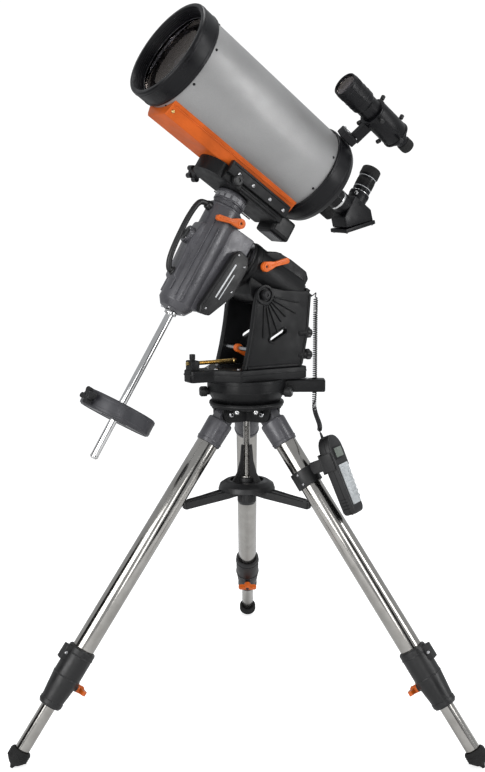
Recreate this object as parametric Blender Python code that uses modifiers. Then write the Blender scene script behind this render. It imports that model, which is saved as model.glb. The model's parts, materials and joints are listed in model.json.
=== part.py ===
"""A catadioptric telescope on an equatorial mount and a stainless steel tripod.

Metres, +Z up. The feet stand on z = 0 and the origin is under the middle of the whole object.
Four frames carry the pieces, and each is worked out from the angles below:
  tripod       z up along the pillar axis
  azimuth      x to the pole (horizontally), y to the near side, z up
  polar        x up and square to the polar axis, y to the far side, z along the polar axis
  declination  x along the polar axis, y to the near side, z up along the declination axis
"""

import math

import bmesh
import bpy
from mathutils import Matrix, Vector

OBJECT = "equatorial_telescope"
GAP = 0.0003

# Where the pillar axis stands, so that the whole object's box is centred on the origin
PILLAR_X = 0.0
PILLAR_Y = -0.1432

# Tripod
LEG_AZIMUTHS = {"leg_1": -150, "leg_2": -30, "leg_3": 90}
LEG_SPREAD = math.radians(36.2)
LEG_HINGE_R = 0.0556
LEG_HINGE_Z = 0.735
LEG_LENGTH = 0.9086
UPPER_TUBE_R = 0.0254
LOWER_TUBE_R = 0.0165
TUBE_WALL = 0.002
TONGUE_HALF = 0.0172
PIN_R = 0.004
COLLAR_TOP = -0.618
COLLAR_BOTTOM = -0.757
LOCK_KNOB_Y = 0.0365
LOCK_KNOB_Z = -0.700
FOOT_TOP = -0.866
ROD_R = 0.0075
ROD_BORE_R = 0.0086
TRAY_ARM_R = 0.169
LEG_STEPS = 20

# Mount
MOUNT_AZIMUTH = math.radians(-150)
LATITUDE = math.radians(31.7)
AZIMUTH_KNOBS = {"azimuth_knob_1": -168, "azimuth_knob_2": -19}
DRUM_R = 0.0925
DRUM_BOTTOM = 0.7625
DRUM_TOP = 0.815
PLATE_TOP = 0.842
CHEEK_Y = 0.063
CHEEK_THICK = 0.014
LATITUDE_HANDLE = (0.022, 0.0, 0.886)
LATITUDE_AXIS_X = -0.008
LATITUDE_AXIS_Z = 1.011
AXES_MEET_X = 0.0939
AXES_MEET_Z = 1.1364
TRUNNION_R = 0.012
RA_BODY_R = 0.053
RA_FRONT = -0.1003
RA_REAR = -0.262
RA_SHAFT_R = 0.020
DEC_BODY_R = 0.041
DEC_BOTTOM = -0.187
DEC_TOP = 0.078
DEC_SHAFT_R = 0.018

# Optical tube, measured along its axis from the declination axis
OPTICAL_AXIS_D = 0.275
TUBE_STEPS = 44
TUBE_TURN = math.radians(6.2)
TUBE_R = 0.1095
TUBE_SHEET = 0.003
RING_R = 0.1141
FRONT_Z = 0.311
FRONT_FACE_R = 0.108
RING_BACK_Z = 0.265
CELL_FRONT_Z = -0.131
CELL_BACK_Z = -0.203
DOVETAIL_TOP = -0.1035
DOVETAIL_THICK = 0.0245
FINDER_ANGLE = math.radians(35)
FINDER_DISTANCE = 0.205
DIAGONAL_Z = -0.318
EYEPIECE_BORE_R = 0.0162

# Counterweight
BAR_R = 0.009
BAR_END = -0.555
WEIGHT_TOP = -0.424
WEIGHT_THICK = 0.035
WEIGHT_R = 0.084

# Hand control, in the frame of the leg that carries it
HANDSET_S = 0.213
HANDSET_V = 0.078
HANDSET_TILT = math.radians(13)
HANDSET_SIZE = (0.066, 0.030, 0.182)

CORD_WIRE_R = 0.00175
CORD_CURL_R = 0.006


def clear_scene():
    for obj in list(bpy.data.objects):
        bpy.data.objects.remove(obj, do_unlink=True)


def new_collection(name):
    made = bpy.data.collections.new(name)
    bpy.context.scene.collection.children.link(made)
    return made


clear_scene()
PARTS = new_collection(OBJECT)
CUTTERS = new_collection("cutters")
MATERIALS = {}


def material(name, colour, roughness, metallic):
    made = bpy.data.materials.new(name)
    made.use_nodes = True
    shader = made.node_tree.nodes["Principled BSDF"]
    shader.inputs["Base Color"].default_value = (*colour, 1)
    shader.inputs["Roughness"].default_value = roughness
    shader.inputs["Metallic"].default_value = metallic
    MATERIALS[name] = made


def make_materials():
    material("black_casting", (0.025, 0.026, 0.029), 0.45, 0.0)
    material("grey_casting", (0.055, 0.056, 0.064), 0.40, 0.2)
    material("black_plastic", (0.018, 0.018, 0.020), 0.50, 0.0)
    material("black_anodised", (0.012, 0.012, 0.013), 0.35, 0.4)
    material("rubber", (0.015, 0.015, 0.015), 0.80, 0.0)
    material("stainless", (0.72, 0.70, 0.66), 0.16, 1.0)
    material("chrome", (0.80, 0.80, 0.80), 0.08, 1.0)
    material("bearing_steel", (0.50, 0.50, 0.51), 0.30, 1.0)
    material("brass", (0.62, 0.47, 0.20), 0.30, 1.0)
    material("orange_anodised", (0.72, 0.13, 0.02), 0.32, 0.5)
    material("orange_paint", (0.80, 0.14, 0.02), 0.38, 0.0)
    material("silver_tube", (0.38, 0.36, 0.35), 0.33, 0.6)
    material("optic_glass", (0.10, 0.07, 0.09), 0.03, 0.0)
    material("mirror_coat", (0.85, 0.86, 0.88), 0.03, 1.0)
    material("weight_casting", (0.050, 0.051, 0.056), 0.45, 0.2)
    material("pale_keys", (0.55, 0.57, 0.58), 0.45, 0.0)
    material("cord_jacket", (0.02, 0.02, 0.022), 0.45, 0.0)


# ---------------------------------------------------------------- frames

def frame(origin, x_axis, z_axis):
    """The matrix of a frame with this origin, its z along z_axis and its x as near x_axis as it can be."""
    z = Vector(z_axis).normalized()
    y = z.cross(Vector(x_axis)).normalized()
    x = y.cross(z)
    turn = Matrix((x, y, z)).transposed().to_4x4()
    return Matrix.Translation(origin) @ turn


def move(x=0.0, y=0.0, z=0.0):
    return Matrix.Translation((x, y, z))


def turn(axis, angle):
    return Matrix.Rotation(angle, 4, axis)


TO_X = turn("Y", math.pi / 2)
TO_Y = turn("X", -math.pi / 2)

TRIPOD = move(PILLAR_X, PILLAR_Y, 0)
AZIMUTH = TRIPOD @ turn("Z", MOUNT_AZIMUTH)
NORTH = AZIMUTH.to_3x3() @ Vector((1, 0, 0))
NEAR = AZIMUTH.to_3x3() @ Vector((0, 1, 0))
UP = Vector((0, 0, 1))
POLE = NORTH * math.cos(LATITUDE) + UP * math.sin(LATITUDE)
DEC_AXIS = UP * math.cos(LATITUDE) - NORTH * math.sin(LATITUDE)
AXES_MEET = AZIMUTH @ Vector((AXES_MEET_X, 0, AXES_MEET_Z))
POLAR = frame(AXES_MEET, DEC_AXIS, POLE)
DECLINATION = frame(AXES_MEET, POLE, DEC_AXIS)
TUBE_DIRECTION = Matrix.Rotation(TUBE_TURN, 3, DEC_AXIS) @ POLE
OPTICS = frame(AXES_MEET + DEC_AXIS * OPTICAL_AXIS_D, DEC_AXIS, TUBE_DIRECTION)
FINDER = OPTICS @ turn("Z", -FINDER_ANGLE) @ move(x=FINDER_DISTANCE)
DIAGONAL = OPTICS @ move(z=DIAGONAL_Z)


def leg_frame(name):
    """Origin on the leg's hinge pin, x along the pin, z up along the leg, y to the inside."""
    azimuth = math.radians(LEG_AZIMUTHS[name])
    out = Vector((math.cos(azimuth), math.sin(azimuth), 0))
    pin = Vector((-math.sin(azimuth), math.cos(azimuth), 0))
    up_leg = UP * math.cos(LEG_SPREAD) - out * math.sin(LEG_SPREAD)
    origin = TRIPOD @ (out * LEG_HINGE_R + UP * LEG_HINGE_Z)
    return frame(origin, pin, up_leg)


HANDSET = leg_frame("leg_2") @ move(y=-HANDSET_V, z=-HANDSET_S) @ turn("X", HANDSET_TILT)


def rig(name, place):
    """An empty on a moving body's joint axis, which carries that body's pieces."""
    empty = bpy.data.objects.new(name, None)
    empty.empty_display_size = 0.03
    empty.matrix_world = place
    PARTS.objects.link(empty)
    return empty


# ---------------------------------------------------------------- shapes

def settle(obj, place):
    """Moves a new object into place and files it as a helper until finish() makes it a part."""
    for held in list(obj.users_collection):
        held.objects.unlink(obj)
    CUTTERS.objects.link(obj)
    obj.hide_render = True
    obj.display_type = "WIRE"
    obj.matrix_world = place
    return obj


def from_points(name, points, edges, faces, place):
    mesh = bpy.data.meshes.new(name)
    mesh.from_pydata(points, edges, faces)
    return settle(bpy.data.objects.new(name, mesh), place)


def turned(name, profile, place, steps=28, closed=False):
    """A turned solid. The profile lists (radius, z) down the outer side from the top."""
    points = [(radius, 0, z) for radius, z in profile]
    edges = [(i, i + 1) for i in range(len(points) - 1)]
    if closed:
        edges.append((len(points) - 1, 0))
    obj = from_points(name, points, edges, [], place)
    screw = obj.modifiers.new("turn", "SCREW")
    screw.steps = steps
    screw.render_steps = steps
    screw.use_merge_vertices = True
    screw.merge_threshold = 0.00001
    screw.use_smooth_shade = True
    return obj


def rod(name, radius, top, bottom, place, steps=20):
    return turned(name, [(0, top), (radius, top), (radius, bottom), (0, bottom)], place, steps)


def tube(name, outer, inner, top, bottom, place, steps=28):
    profile = [(outer, top), (outer, bottom), (inner, bottom), (inner, top)]
    return turned(name, profile, place, steps, closed=True)


def block(name, size, place, bevel=0.0, segments=1):
    bpy.ops.mesh.primitive_cube_add(size=1)
    obj = bpy.context.active_object
    obj.name = name
    obj.data.transform(Matrix.Diagonal((*size, 1)))
    if bevel:
        rounding = obj.modifiers.new("edges", "BEVEL")
        rounding.width = bevel
        rounding.segments = segments
    return settle(obj, place)


def prism(name, outline, thick, place, bevel=0.0):
    """A flat outline in x and y, given the thickness along z, centred on z = 0."""
    curve = bpy.data.curves.new(name, "CURVE")
    curve.dimensions = "2D"
    curve.fill_mode = "BOTH"
    curve.extrude = thick / 2
    spline = curve.splines.new("POLY")
    spline.points.add(len(outline) - 1)
    for point, (x, y) in zip(spline.points, outline):
        point.co = (x, y, 0, 1)
    spline.use_cyclic_u = True
    drawn = bpy.data.objects.new(name, curve)
    CUTTERS.objects.link(drawn)
    obj = as_mesh(drawn, name, place, 0.001)
    if bevel:
        rounding = obj.modifiers.new("edges", "BEVEL")
        rounding.width = bevel
        rounding.segments = 1
        rounding.limit_method = "ANGLE"
    return obj


def as_mesh(drawn, name, place, flat=0.0):
    """Makes a curve object a mesh with its caps welded, and removes the curve. flat merges level faces."""
    bpy.context.view_layer.update()
    graph = bpy.context.evaluated_depsgraph_get()
    mesh = bpy.data.meshes.new_from_object(drawn.evaluated_get(graph))
    bpy.data.objects.remove(drawn, do_unlink=True)
    built = bmesh.new()
    built.from_mesh(mesh)
    bmesh.ops.remove_doubles(built, verts=built.verts, dist=0.00001)
    bmesh.ops.recalc_face_normals(built, faces=built.faces)
    if flat:
        bmesh.ops.dissolve_limit(built, angle_limit=flat, verts=built.verts, edges=built.edges)
    built.to_mesh(mesh)
    built.free()
    return settle(bpy.data.objects.new(name, mesh), place)


def pipe(name, points, radius, place, radii=None, resolution=2, smooth=0):
    """A round bar along the points, with a radius factor for each if radii is given."""
    curve = bpy.data.curves.new(name, "CURVE")
    curve.dimensions = "3D"
    curve.bevel_depth = radius
    curve.bevel_resolution = resolution
    curve.use_fill_caps = True
    route = smoothed(points, smooth) if smooth else points
    spline = curve.splines.new("POLY")
    spline.points.add(len(route) - 1)
    for i, point in enumerate(route):
        spline.points[i].co = (*point, 1)
        if radii:
            spline.points[i].radius = radii(i / (len(route) - 1))
    drawn = bpy.data.objects.new(name, curve)
    CUTTERS.objects.link(drawn)
    return as_mesh(drawn, name, place)


def smoothed(points, count):
    """count + 1 points along the Catmull-Rom curve through the given ones."""
    ends = [Vector(p) for p in points]
    ends = [2 * ends[0] - ends[1], *ends, 2 * ends[-1] - ends[-2]]
    spans = len(ends) - 3
    route = []
    for i in range(count + 1):
        at = min(i * spans / count, spans - 1e-9)
        k = int(at)
        t = at - k
        a, b, c, d = ends[k : k + 4]
        route.append(
            0.5 * (2 * b + (c - a) * t + (2 * a - 5 * b + 4 * c - d) * t**2 + (3 * b - a - 3 * c + d) * t**3)
        )
    return route


def arc(x, y, radius, start, end, count):
    """Points on an arc, the angles in degrees."""
    angles = [math.radians(start + (end - start) * i / count) for i in range(count + 1)]
    return [(x + radius * math.cos(a), y + radius * math.sin(a)) for a in angles]


def boolean(obj, other, operation):
    joined = obj.modifiers.new(operation.lower(), "BOOLEAN")
    joined.operation = operation
    joined.solver = "EXACT"
    joined.object = other


def fuse(obj, *others):
    for other in others:
        boolean(obj, other, "UNION")
    return obj


def cut(obj, *others):
    for other in others:
        boolean(obj, other, "DIFFERENCE")
    return obj


def finish(obj, name, slot, body):
    """Makes a helper a part: its final name, its material, its collection and its body's empty."""
    obj.name = name
    obj.data.name = name
    obj.data.materials.clear()
    obj.data.materials.append(MATERIALS[slot])
    obj.hide_render = False
    obj.display_type = "TEXTURED"
    CUTTERS.objects.unlink(obj)
    PARTS.objects.link(obj)
    place = obj.matrix_world.copy()
    obj.parent = body
    obj.matrix_parent_inverse = body.matrix_world.inverted()
    obj.matrix_world = place
    obj.data.shade_smooth()
    obj.data.set_sharp_from_angle(angle=math.radians(35))
    return obj


# ---------------------------------------------------------------- tripod

def tripod_hub(body):
    """The top plate, with a pair of lugs and a pin for each leg."""
    plate = [(0, 0.762), (0.086, 0.762), (0.088, 0.760), (0.086, 0.750), (0.070, 0.7455), (0, 0.7455)]
    hub = turned("hub", plate, TRIPOD, 36)
    inner = TONGUE_HALF + GAP
    for name in LEG_AZIMUTHS:
        cut(hub, rod(f"{name}_pocket", 0.0192, inner, -inner, leg_frame(name) @ TO_X, 20))
    thick = 0.009
    eye = arc(LEG_HINGE_R, LEG_HINGE_Z, 0.0195, 0, -90, 4)
    lug = [(0.001, 0.751), (0.001, 0.7155), *reversed(eye), (LEG_HINGE_R + 0.0195, 0.751)]
    for name, azimuth in LEG_AZIMUTHS.items():
        upright = TRIPOD @ turn("Z", math.radians(azimuth)) @ turn("X", math.pi / 2)
        for side in (-1, 1):
            place = upright @ move(z=side * (inner + thick / 2))
            fuse(hub, prism(f"{name}_lug", lug, thick, place))
        pin = leg_frame(name) @ TO_X
        fuse(hub, rod(f"{name}_pin", PIN_R, inner + thick + 0.004, -inner - thick - 0.004, pin, 12))
    core = rod("core", 0.022, 0.750, 0.7157, TRIPOD, 12)
    finish(fuse(hub, core), "tripod_hub", "black_casting", body)


def centre_rod(body):
    finish(rod("rod", ROD_R, 0.7154, 0.5165, TRIPOD, 16), "centre_rod", "stainless", body)


def leg_sleeve(name, body):
    """The casting round the top of the upper tube, with the tongue that turns on the pin."""
    place = leg_frame(name)
    inner = UPPER_TUBE_R + GAP
    shell = [(0, -0.0222), (0.0285, -0.0222), (0.0305, -0.026), (0.0290, -0.081), (0.0275, -0.083)]
    shell += [(inner, -0.083), (inner, -0.030), (0, -0.030)]
    sleeve = turned("sleeve", shell, place, LEG_STEPS)
    side = [(0.0185, -0.027), *arc(0, 0, 0.0185, 0, 180, 6), (-0.0185, -0.027)]
    tongue = prism("tongue", side, 2 * TONGUE_HALF, place @ turn("Z", math.pi / 2) @ turn("X", math.pi / 2))
    eye = rod("eye", PIN_R + 0.0006, 0.03, -0.03, place @ TO_X, 12)
    finish(cut(fuse(sleeve, tongue), eye), f"{name}_sleeve", "grey_casting", body)


def leg_upper_tube(name, body):
    bore = UPPER_TUBE_R - TUBE_WALL
    shell = tube("upper", UPPER_TUBE_R, bore, -0.0303, -0.664, leg_frame(name), LEG_STEPS)
    finish(shell, f"{name}_upper_tube", "stainless", body)


def leg_collar(name, body):
    """The clamp casting at the foot of the upper tube, with its lug and the lock knob's boss."""
    place = leg_frame(name)
    wide = UPPER_TUBE_R + GAP
    narrow = LOWER_TUBE_R + GAP
    outside = [(0.0300, COLLAR_TOP), (0.0320, -0.621), (0.0320, -0.690), (0.0262, -0.742)]
    outside += [(0.0250, COLLAR_BOTTOM), (narrow, COLLAR_BOTTOM)]
    inside = [(narrow, -0.6643), (wide, -0.6643), (wide, COLLAR_TOP)]
    collar = turned("collar", outside + inside, place, LEG_STEPS, closed=True)
    lug = block("lug", (0.020, 0.016, 0.034), place @ move(y=-0.035, z=-0.640), 0.002)
    boss = rod("boss", 0.009, LOCK_KNOB_Y - GAP, 0.0225, place @ move(z=LOCK_KNOB_Z) @ TO_Y, 16)
    finish(fuse(collar, lug, boss), f"{name}_collar", "black_plastic", body)


def leg_lock_knob(name, body):
    """A winged knob on the inner side of the collar."""
    place = leg_frame(name) @ move(y=LOCK_KNOB_Y, z=LOCK_KNOB_Z) @ TO_Y
    hub = turned("hub", [(0, 0.018), (0.007, 0.018), (0.009, 0.015), (0.009, 0), (0, 0)], place, 16)
    half = 0.026
    wing = [*arc(half - 0.006, 0.012, 0.006, -90, 90, 4), *arc(0.006 - half, 0.012, 0.006, 90, 270, 4)]
    bar = prism("wing", wing, 0.010, place @ turn("X", math.pi / 2))
    finish(fuse(hub, bar), f"{name}_lock_knob", "orange_paint", body)


def leg_lower_tube(name, body):
    """The sliding tube, with the bush at its top that guides it inside the upper tube."""
    bush = UPPER_TUBE_R - TUBE_WALL - GAP
    bore = LOWER_TUBE_R - TUBE_WALL
    profile = [(bush, -0.360), (bush, -0.385), (LOWER_TUBE_R, -0.385), (LOWER_TUBE_R, -0.880)]
    profile += [(bore, -0.880), (bore, -0.360)]
    shell = turned("lower", profile, leg_frame(name), LEG_STEPS, closed=True)
    finish(shell, f"{name}_lower_tube", "stainless", body)


def leg_foot(name, body):
    """A cap over the lower tube, rounded off to a blunt tip that meets the ground."""
    bore = LOWER_TUBE_R + GAP
    profile = [(0, -0.8803), (bore, -0.8803), (bore, FOOT_TOP), (0.0215, FOOT_TOP), (0.0232, -0.869)]
    profile += [(0.0232, -0.884), (0.0195, -0.8905), (0.0115, -0.8985), (0.0065, -0.9015)]
    profile += [(0.0030, -LEG_LENGTH), (0, -LEG_LENGTH)]
    finish(turned("foot", profile, leg_frame(name), LEG_STEPS), f"{name}_foot", "rubber", body)


def spreader_tray(body):
    """A ring and three arms on a central boss, with a fin on each arm against the rod."""
    boss = tube("boss", 0.020, ROD_BORE_R, 0.576, 0.538, TRIPOD, 18)
    dome = [(0.040, 0.570), (0.052, 0.568), (0.064, 0.560), (0.068, 0.548), (0.062, 0.548)]
    dome += [(0.052, 0.556), (0.040, 0.558)]
    tray = fuse(boss, turned("dome", dome, TRIPOD, 24, closed=True))
    arm = [(0.014, 0.016), (0.060, 0.019), (0.120, 0.014), (TRAY_ARM_R - 0.003, 0.011), (TRAY_ARM_R, 0.008)]
    outline = arm + [(x, -y) for x, y in reversed(arm)]
    fin = [(0.0092, 0.655), (0.0092, 0.556), (0.050, 0.556), (0.038, 0.570), (0.026, 0.588)]
    fin += [(0.017, 0.617), (0.0135, 0.655)]
    slope = math.atan2(0.021, TRAY_ARM_R)
    for name, azimuth in LEG_AZIMUTHS.items():
        out = TRIPOD @ turn("Z", math.radians(azimuth))
        fuse(tray, prism(f"{name}_arm", outline, 0.016, out @ move(z=0.549) @ turn("Y", slope)))
        fuse(tray, prism(f"{name}_fin", fin, 0.005, out @ turn("X", math.pi / 2)))
    bore = rod("bore", ROD_BORE_R, 0.70, 0.50, TRIPOD, 18)
    finish(cut(tray, bore), "spreader_tray", "black_plastic", body)


def spreader_knob(body):
    """A ribbed hand nut under the tray, its bore blind from above."""
    profile = [(0, 0.5377), (0.021, 0.5377), (0.0225, 0.534), (0.0225, 0.518), (0.018, 0.510), (0, 0.510)]
    knob = turned("knob", profile, TRIPOD, 20)
    for i in range(10):
        angle = math.radians(36 * i)
        notch = rod("notch", 0.0022, 0.540, 0.500, TRIPOD @ turn("Z", angle) @ move(x=0.0235), 8)
        cut(knob, notch)
    bore = rod("bore", ROD_BORE_R, 0.545, 0.5155, TRIPOD, 18)
    finish(cut(knob, bore), "spreader_knob", "black_plastic", body)


# ---------------------------------------------------------------- azimuth head

def azimuth_base(body):
    """The drum and the bed plate, with the front arm and the side bracket that guides the cord."""
    drum = [(0, DRUM_TOP), (DRUM_R, DRUM_TOP), (DRUM_R, 0.787), (0.079, DRUM_BOTTOM), (0, DRUM_BOTTOM)]
    base = turned("drum", drum, AZIMUTH, 36)
    half = [(0.155, 0.016), (0.150, 0.022), (0.100, 0.026), (0.070, 0.062), (0.058, 0.076), (-0.115, 0.076)]
    half += [(-0.125, 0.066)]
    outline = half + [(x, -y) for x, y in reversed(half)]
    plate = prism("plate", outline, 0.028, AZIMUTH @ move(z=PLATE_TOP - 0.014), 0.003)
    post = block("post", (0.022, 0.030, 0.024), AZIMUTH @ move(x=0.141, z=0.852), 0.003)
    arm = block("arm", (0.114, 0.036, 0.030), TRIPOD @ move(x=0.128, y=0.006, z=0.796), 0.004)
    guide = rod("guide", 0.0085, 0.85, 0.74, TRIPOD @ move(x=0.1615, y=0.0115), 16)
    thumb = rod("thumb", 0.006, 0.878, 0.860, AZIMUTH @ move(x=0.1415), 14)
    fuse(base, plate, post, arm, thumb)
    for azimuth in AZIMUTH_KNOBS.values():
        stub = TRIPOD @ turn("Z", math.radians(azimuth)) @ move(z=0.7855) @ TO_X
        fuse(base, rod("stub", 0.0085, 0.094, 0.070, stub, 12))
    brass_bore = rod("brass_bore", 0.0047, 0.16, 0.10, AZIMUTH @ move(z=0.857) @ TO_X, 12)
    finish(cut(base, guide, brass_bore), "azimuth_base", "black_casting", body)


def cheek(name, side, body):
    """One side of the fork: a web with a boss for the latitude axis and a slot. The far one is cut back."""
    rim = [(0.046, PLATE_TOP + GAP), (0.034, 0.888), (0.024, 0.938), (0.017, 0.985)]
    rim += [*arc(LATITUDE_AXIS_X, LATITUDE_AXIS_Z, 0.019, 10, 95, 4)]
    rim += [(-0.060, 1.020), (-0.128, 1.016), (-0.134, 1.008)]
    rim += [(-0.126, 0.918)] if side > 0 else [(-0.104, 0.955), (-0.084, 0.918), (-0.086, 0.878)]
    rim += [(-0.110, PLATE_TOP + GAP)]
    upright = AZIMUTH @ turn("X", math.pi / 2)
    web = prism("web", rim, CHEEK_THICK, upright @ move(z=-side * CHEEK_Y), 0.002)
    pivot = AZIMUTH @ move(x=LATITUDE_AXIS_X, z=LATITUDE_AXIS_Z) @ TO_Y
    bore = rod("bore", TRUNNION_R + 0.0006, 0.1, -0.1, pivot, 20)
    slot_turn = math.atan2(0.023, -0.042)
    ends = 0.019
    slot = [*arc(ends, 0, 0.0055, -90, 90, 4), *arc(-ends, 0, 0.0055, 90, 270, 4)]
    opening = prism("slot", slot, 0.4, upright @ move(x=-0.044, y=0.918) @ turn("Z", slot_turn))
    for z in (0.868, 0.919) if side > 0 else ():
        place = AZIMUTH @ move(y=side * CHEEK_Y, z=z) @ TO_X
        fuse(web, turned("lock", [(0, -0.100), (0.009, -0.100), (0.009, -0.138), (0, -0.138)], place, 14))
    finish(cut(web, bore, opening), name, "black_casting", body)


def azimuth_knob(name, place, body):
    profile = [(0, 0.112), (0.009, 0.112), (0.0115, 0.109), (0.0115, 0.0945), (0, 0.0945)]
    finish(turned("knob", profile, place, 16), name, "black_plastic", body)


def latitude_screw(body):
    """The brass adjusting screw, which runs through the post on the front arm."""
    place = AZIMUTH @ move(z=0.857) @ TO_X
    profile = [(0, 0.1570), (0.0042, 0.1570), (0.0042, 0.037), (0.0062, 0.036), (0.0062, 0.030), (0, 0.030)]
    finish(turned("screw", profile, place, 16), "latitude_screw", "brass", body)


def latitude_cross_bolt(body):
    """The bolt between the cheeks that carries the latitude lever."""
    x, _, z = LATITUDE_HANDLE
    half = CHEEK_Y - CHEEK_THICK / 2 - GAP
    bolt = rod("bolt", 0.005, half, -half, AZIMUTH @ move(x=x, z=z) @ TO_Y, 16)
    finish(bolt, "latitude_cross_bolt", "bearing_steel", body)


def latitude_handle(body):
    """The orange locking lever on the cross bolt."""
    place = AZIMUTH @ move(*LATITUDE_HANDLE) @ turn("X", math.pi / 2) @ turn("Z", math.radians(34))
    half = [(-0.060, 0.0055), (-0.054, 0.0075), (-0.030, 0.0062), (-0.008, 0.0078)]
    outline = half + arc(0, 0, 0.010, 128, -128, 8) + [(x, -y) for x, y in reversed(half)]
    lever = prism("lever", outline, 0.013, place, 0.0015)
    eye = rod("eye", 0.0054, 0.02, -0.02, place, 16)
    finish(cut(lever, eye), "latitude_handle", "orange_paint", body)


# ---------------------------------------------------------------- polar (right ascension) axis

def ra_housing(body):
    """The hollow housing of the polar shaft, with trunnions that turn between the cheeks."""
    r = RA_BODY_R
    shell = [(0, RA_REAR + 0.008), (0.046, RA_REAR + 0.008), (0.046, RA_FRONT - 0.006)]
    shell += [(0.030, RA_FRONT - 0.006), (0.030, RA_FRONT), (r - 0.004, RA_FRONT), (r, RA_FRONT - 0.004), (r, RA_REAR + 0.014)]
    shell += [(r - 0.008, RA_REAR + 0.003), (r - 0.018, RA_REAR), (0, RA_REAR)]
    housing = turned("housing", shell, POLAR, 24)
    hump = [(-0.120, 0.030), (-0.128, 0.046), (-0.150, 0.058), (-0.190, 0.062), (-0.242, 0.060)]
    hump += [(-0.256, 0.048), (-0.256, 0.030)]
    side_on = POLAR @ turn("X", -math.pi / 2) @ turn("Z", math.pi)
    outline = [(-x, z) for z, x in hump]
    top = prism("hump", outline, 0.074, side_on, 0.004)
    keel_outline = [(0.030, -0.112), (0.030, -0.240), (0.050, -0.232), (0.070, -0.170), (0.0735, -0.150)]
    keel_outline += [(0.066, -0.132), (0.046, -0.116)]
    keel = prism("keel", keel_outline, 0.096, side_on, 0.003)
    hollow = rod("hollow", 0.046, RA_FRONT - 0.006, RA_REAR + 0.008, POLAR, 24)
    fuse(housing, top, keel)
    cut(housing, hollow)
    trunnion = AZIMUTH @ move(x=LATITUDE_AXIS_X, z=LATITUDE_AXIS_Z) @ TO_Y
    for top_y, low_y in ((0.078, 0.040), (-0.040, -0.078)):
        fuse(housing, rod("trunnion", TRUNNION_R, top_y, low_y, trunnion, 20))
    boss = rod("boss", 0.012, 0.0555, 0.045, POLAR @ move(x=0.005, z=-0.127) @ turn("X", math.pi / 2), 16)
    fuse(housing, boss)
    port = block("port", (0.016, 0.014, 0.012), POLAR @ move(x=0.018, y=-0.038, z=RA_REAR - 0.002), 0.0015)
    fuse(housing, port)
    finish(housing, "ra_housing", "black_casting", body)


def ra_shaft(body):
    """The polar shaft, with its worm wheel inside the housing and its flange under the declination body."""
    r = RA_SHAFT_R
    profile = [(0, RA_FRONT + 0.012), (0.036, RA_FRONT + 0.012), (0.036, RA_FRONT + 0.0060)]
    profile += [(0.050, RA_FRONT + 0.0060), (0.050, RA_FRONT + GAP), (r, RA_FRONT + GAP)]
    profile += [(r, -0.150), (0.036, -0.150), (0.036, -0.164), (r, -0.164)]
    profile += [(r, RA_REAR + 0.012), (0, RA_REAR + 0.012)]
    finish(turned("shaft", profile, POLAR, 24), "ra_shaft", "bearing_steel", body)


def clutch_lever(name, place, body):
    """An orange lever with a round eye, lying flat on its boss; its z axis is the clutch screw."""
    half = [(0.062, 0.0042), (0.057, 0.0068), (0.024, 0.0056), (0.013, 0.0090)]
    outline = half + arc(0, 0, 0.0118, 60, 300, 10) + [(x, -y) for x, y in reversed(half)]
    lever = prism("lever", outline, 0.010, place @ move(z=0.0054), 0.0015)
    eye = rod("eye", 0.0032, 0.02, 0.004, place, 6)
    finish(cut(lever, eye), name, "orange_paint", body)


RA_CLUTCH = POLAR @ move(x=0.005, y=-0.0555, z=-0.127) @ turn("X", math.pi / 2) @ turn("Z", -math.pi / 4)
DEC_CLUTCH = DECLINATION @ move(x=-0.026, y=0.0438, z=0.055) @ TO_Y @ turn("Z", math.radians(18))


# ---------------------------------------------------------------- declination axis

def dec_housing(body):
    """The hollow body of the declination shaft, with its neck to the polar shaft."""
    r = DEC_BODY_R
    shell = [(0.022, DEC_TOP), (r - 0.003, DEC_TOP), (r, DEC_TOP - 0.004), (r, DEC_BOTTOM + 0.020)]
    shell += [(r - 0.010, DEC_BOTTOM + 0.005), (r - 0.022, DEC_BOTTOM), (0.0125, DEC_BOTTOM)]
    shell += [(0.0125, DEC_BOTTOM + 0.012), (0.034, DEC_BOTTOM + 0.022), (0.034, DEC_TOP - 0.006)]
    shell += [(0.022, DEC_TOP - 0.006)]
    housing = turned("housing", shell, DECLINATION, 24, closed=True)
    neck_outline = [(-0.030, 0.046), (-0.086, 0.046), (-0.086, -0.046), (-0.070, -0.120), (-0.050, -0.160)]
    neck_outline += [(-0.020, -0.168), (-0.020, 0.046)]
    side_on = DECLINATION @ turn("X", math.pi / 2)
    neck = prism("neck", neck_outline, 0.070, side_on, 0.004)
    nose_outline = [(0.020, 0.030), (0.044, 0.018), (0.050, -0.030), (0.046, -0.120), (0.020, -0.140)]
    nose = prism("nose", nose_outline, 0.046, side_on, 0.004)
    hollow = rod("hollow", 0.034, DEC_TOP - 0.006, DEC_BOTTOM + 0.022, DECLINATION, 24)
    lever_boss = rod("lever_boss", 0.0125, -0.0003, -0.030, DEC_CLUTCH, 16)
    fuse(housing, neck, nose, lever_boss)
    cut(housing, hollow)
    cap = rod("cap", 0.019, 0.058, 0.040, DECLINATION @ move(z=-0.020) @ TO_X, 20)
    finish(fuse(housing, cap), "dec_housing", "grey_casting", body)


def dec_side_cover(body):
    """The motor cover on the near side, a long panel that leans with the body."""
    outline = [(-0.082, 0.000), (-0.093, -0.020), (-0.093, -0.092), (-0.062, -0.160), (-0.036, -0.166)]
    outline += [(-0.030, -0.150), (-0.046, -0.010), (-0.056, 0.004)]
    place = DECLINATION @ turn("X", math.pi / 2) @ move(z=-0.0460)
    finish(prism("cover", outline, 0.0190, place, 0.004), "dec_side_cover", "black_plastic", body)


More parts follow.
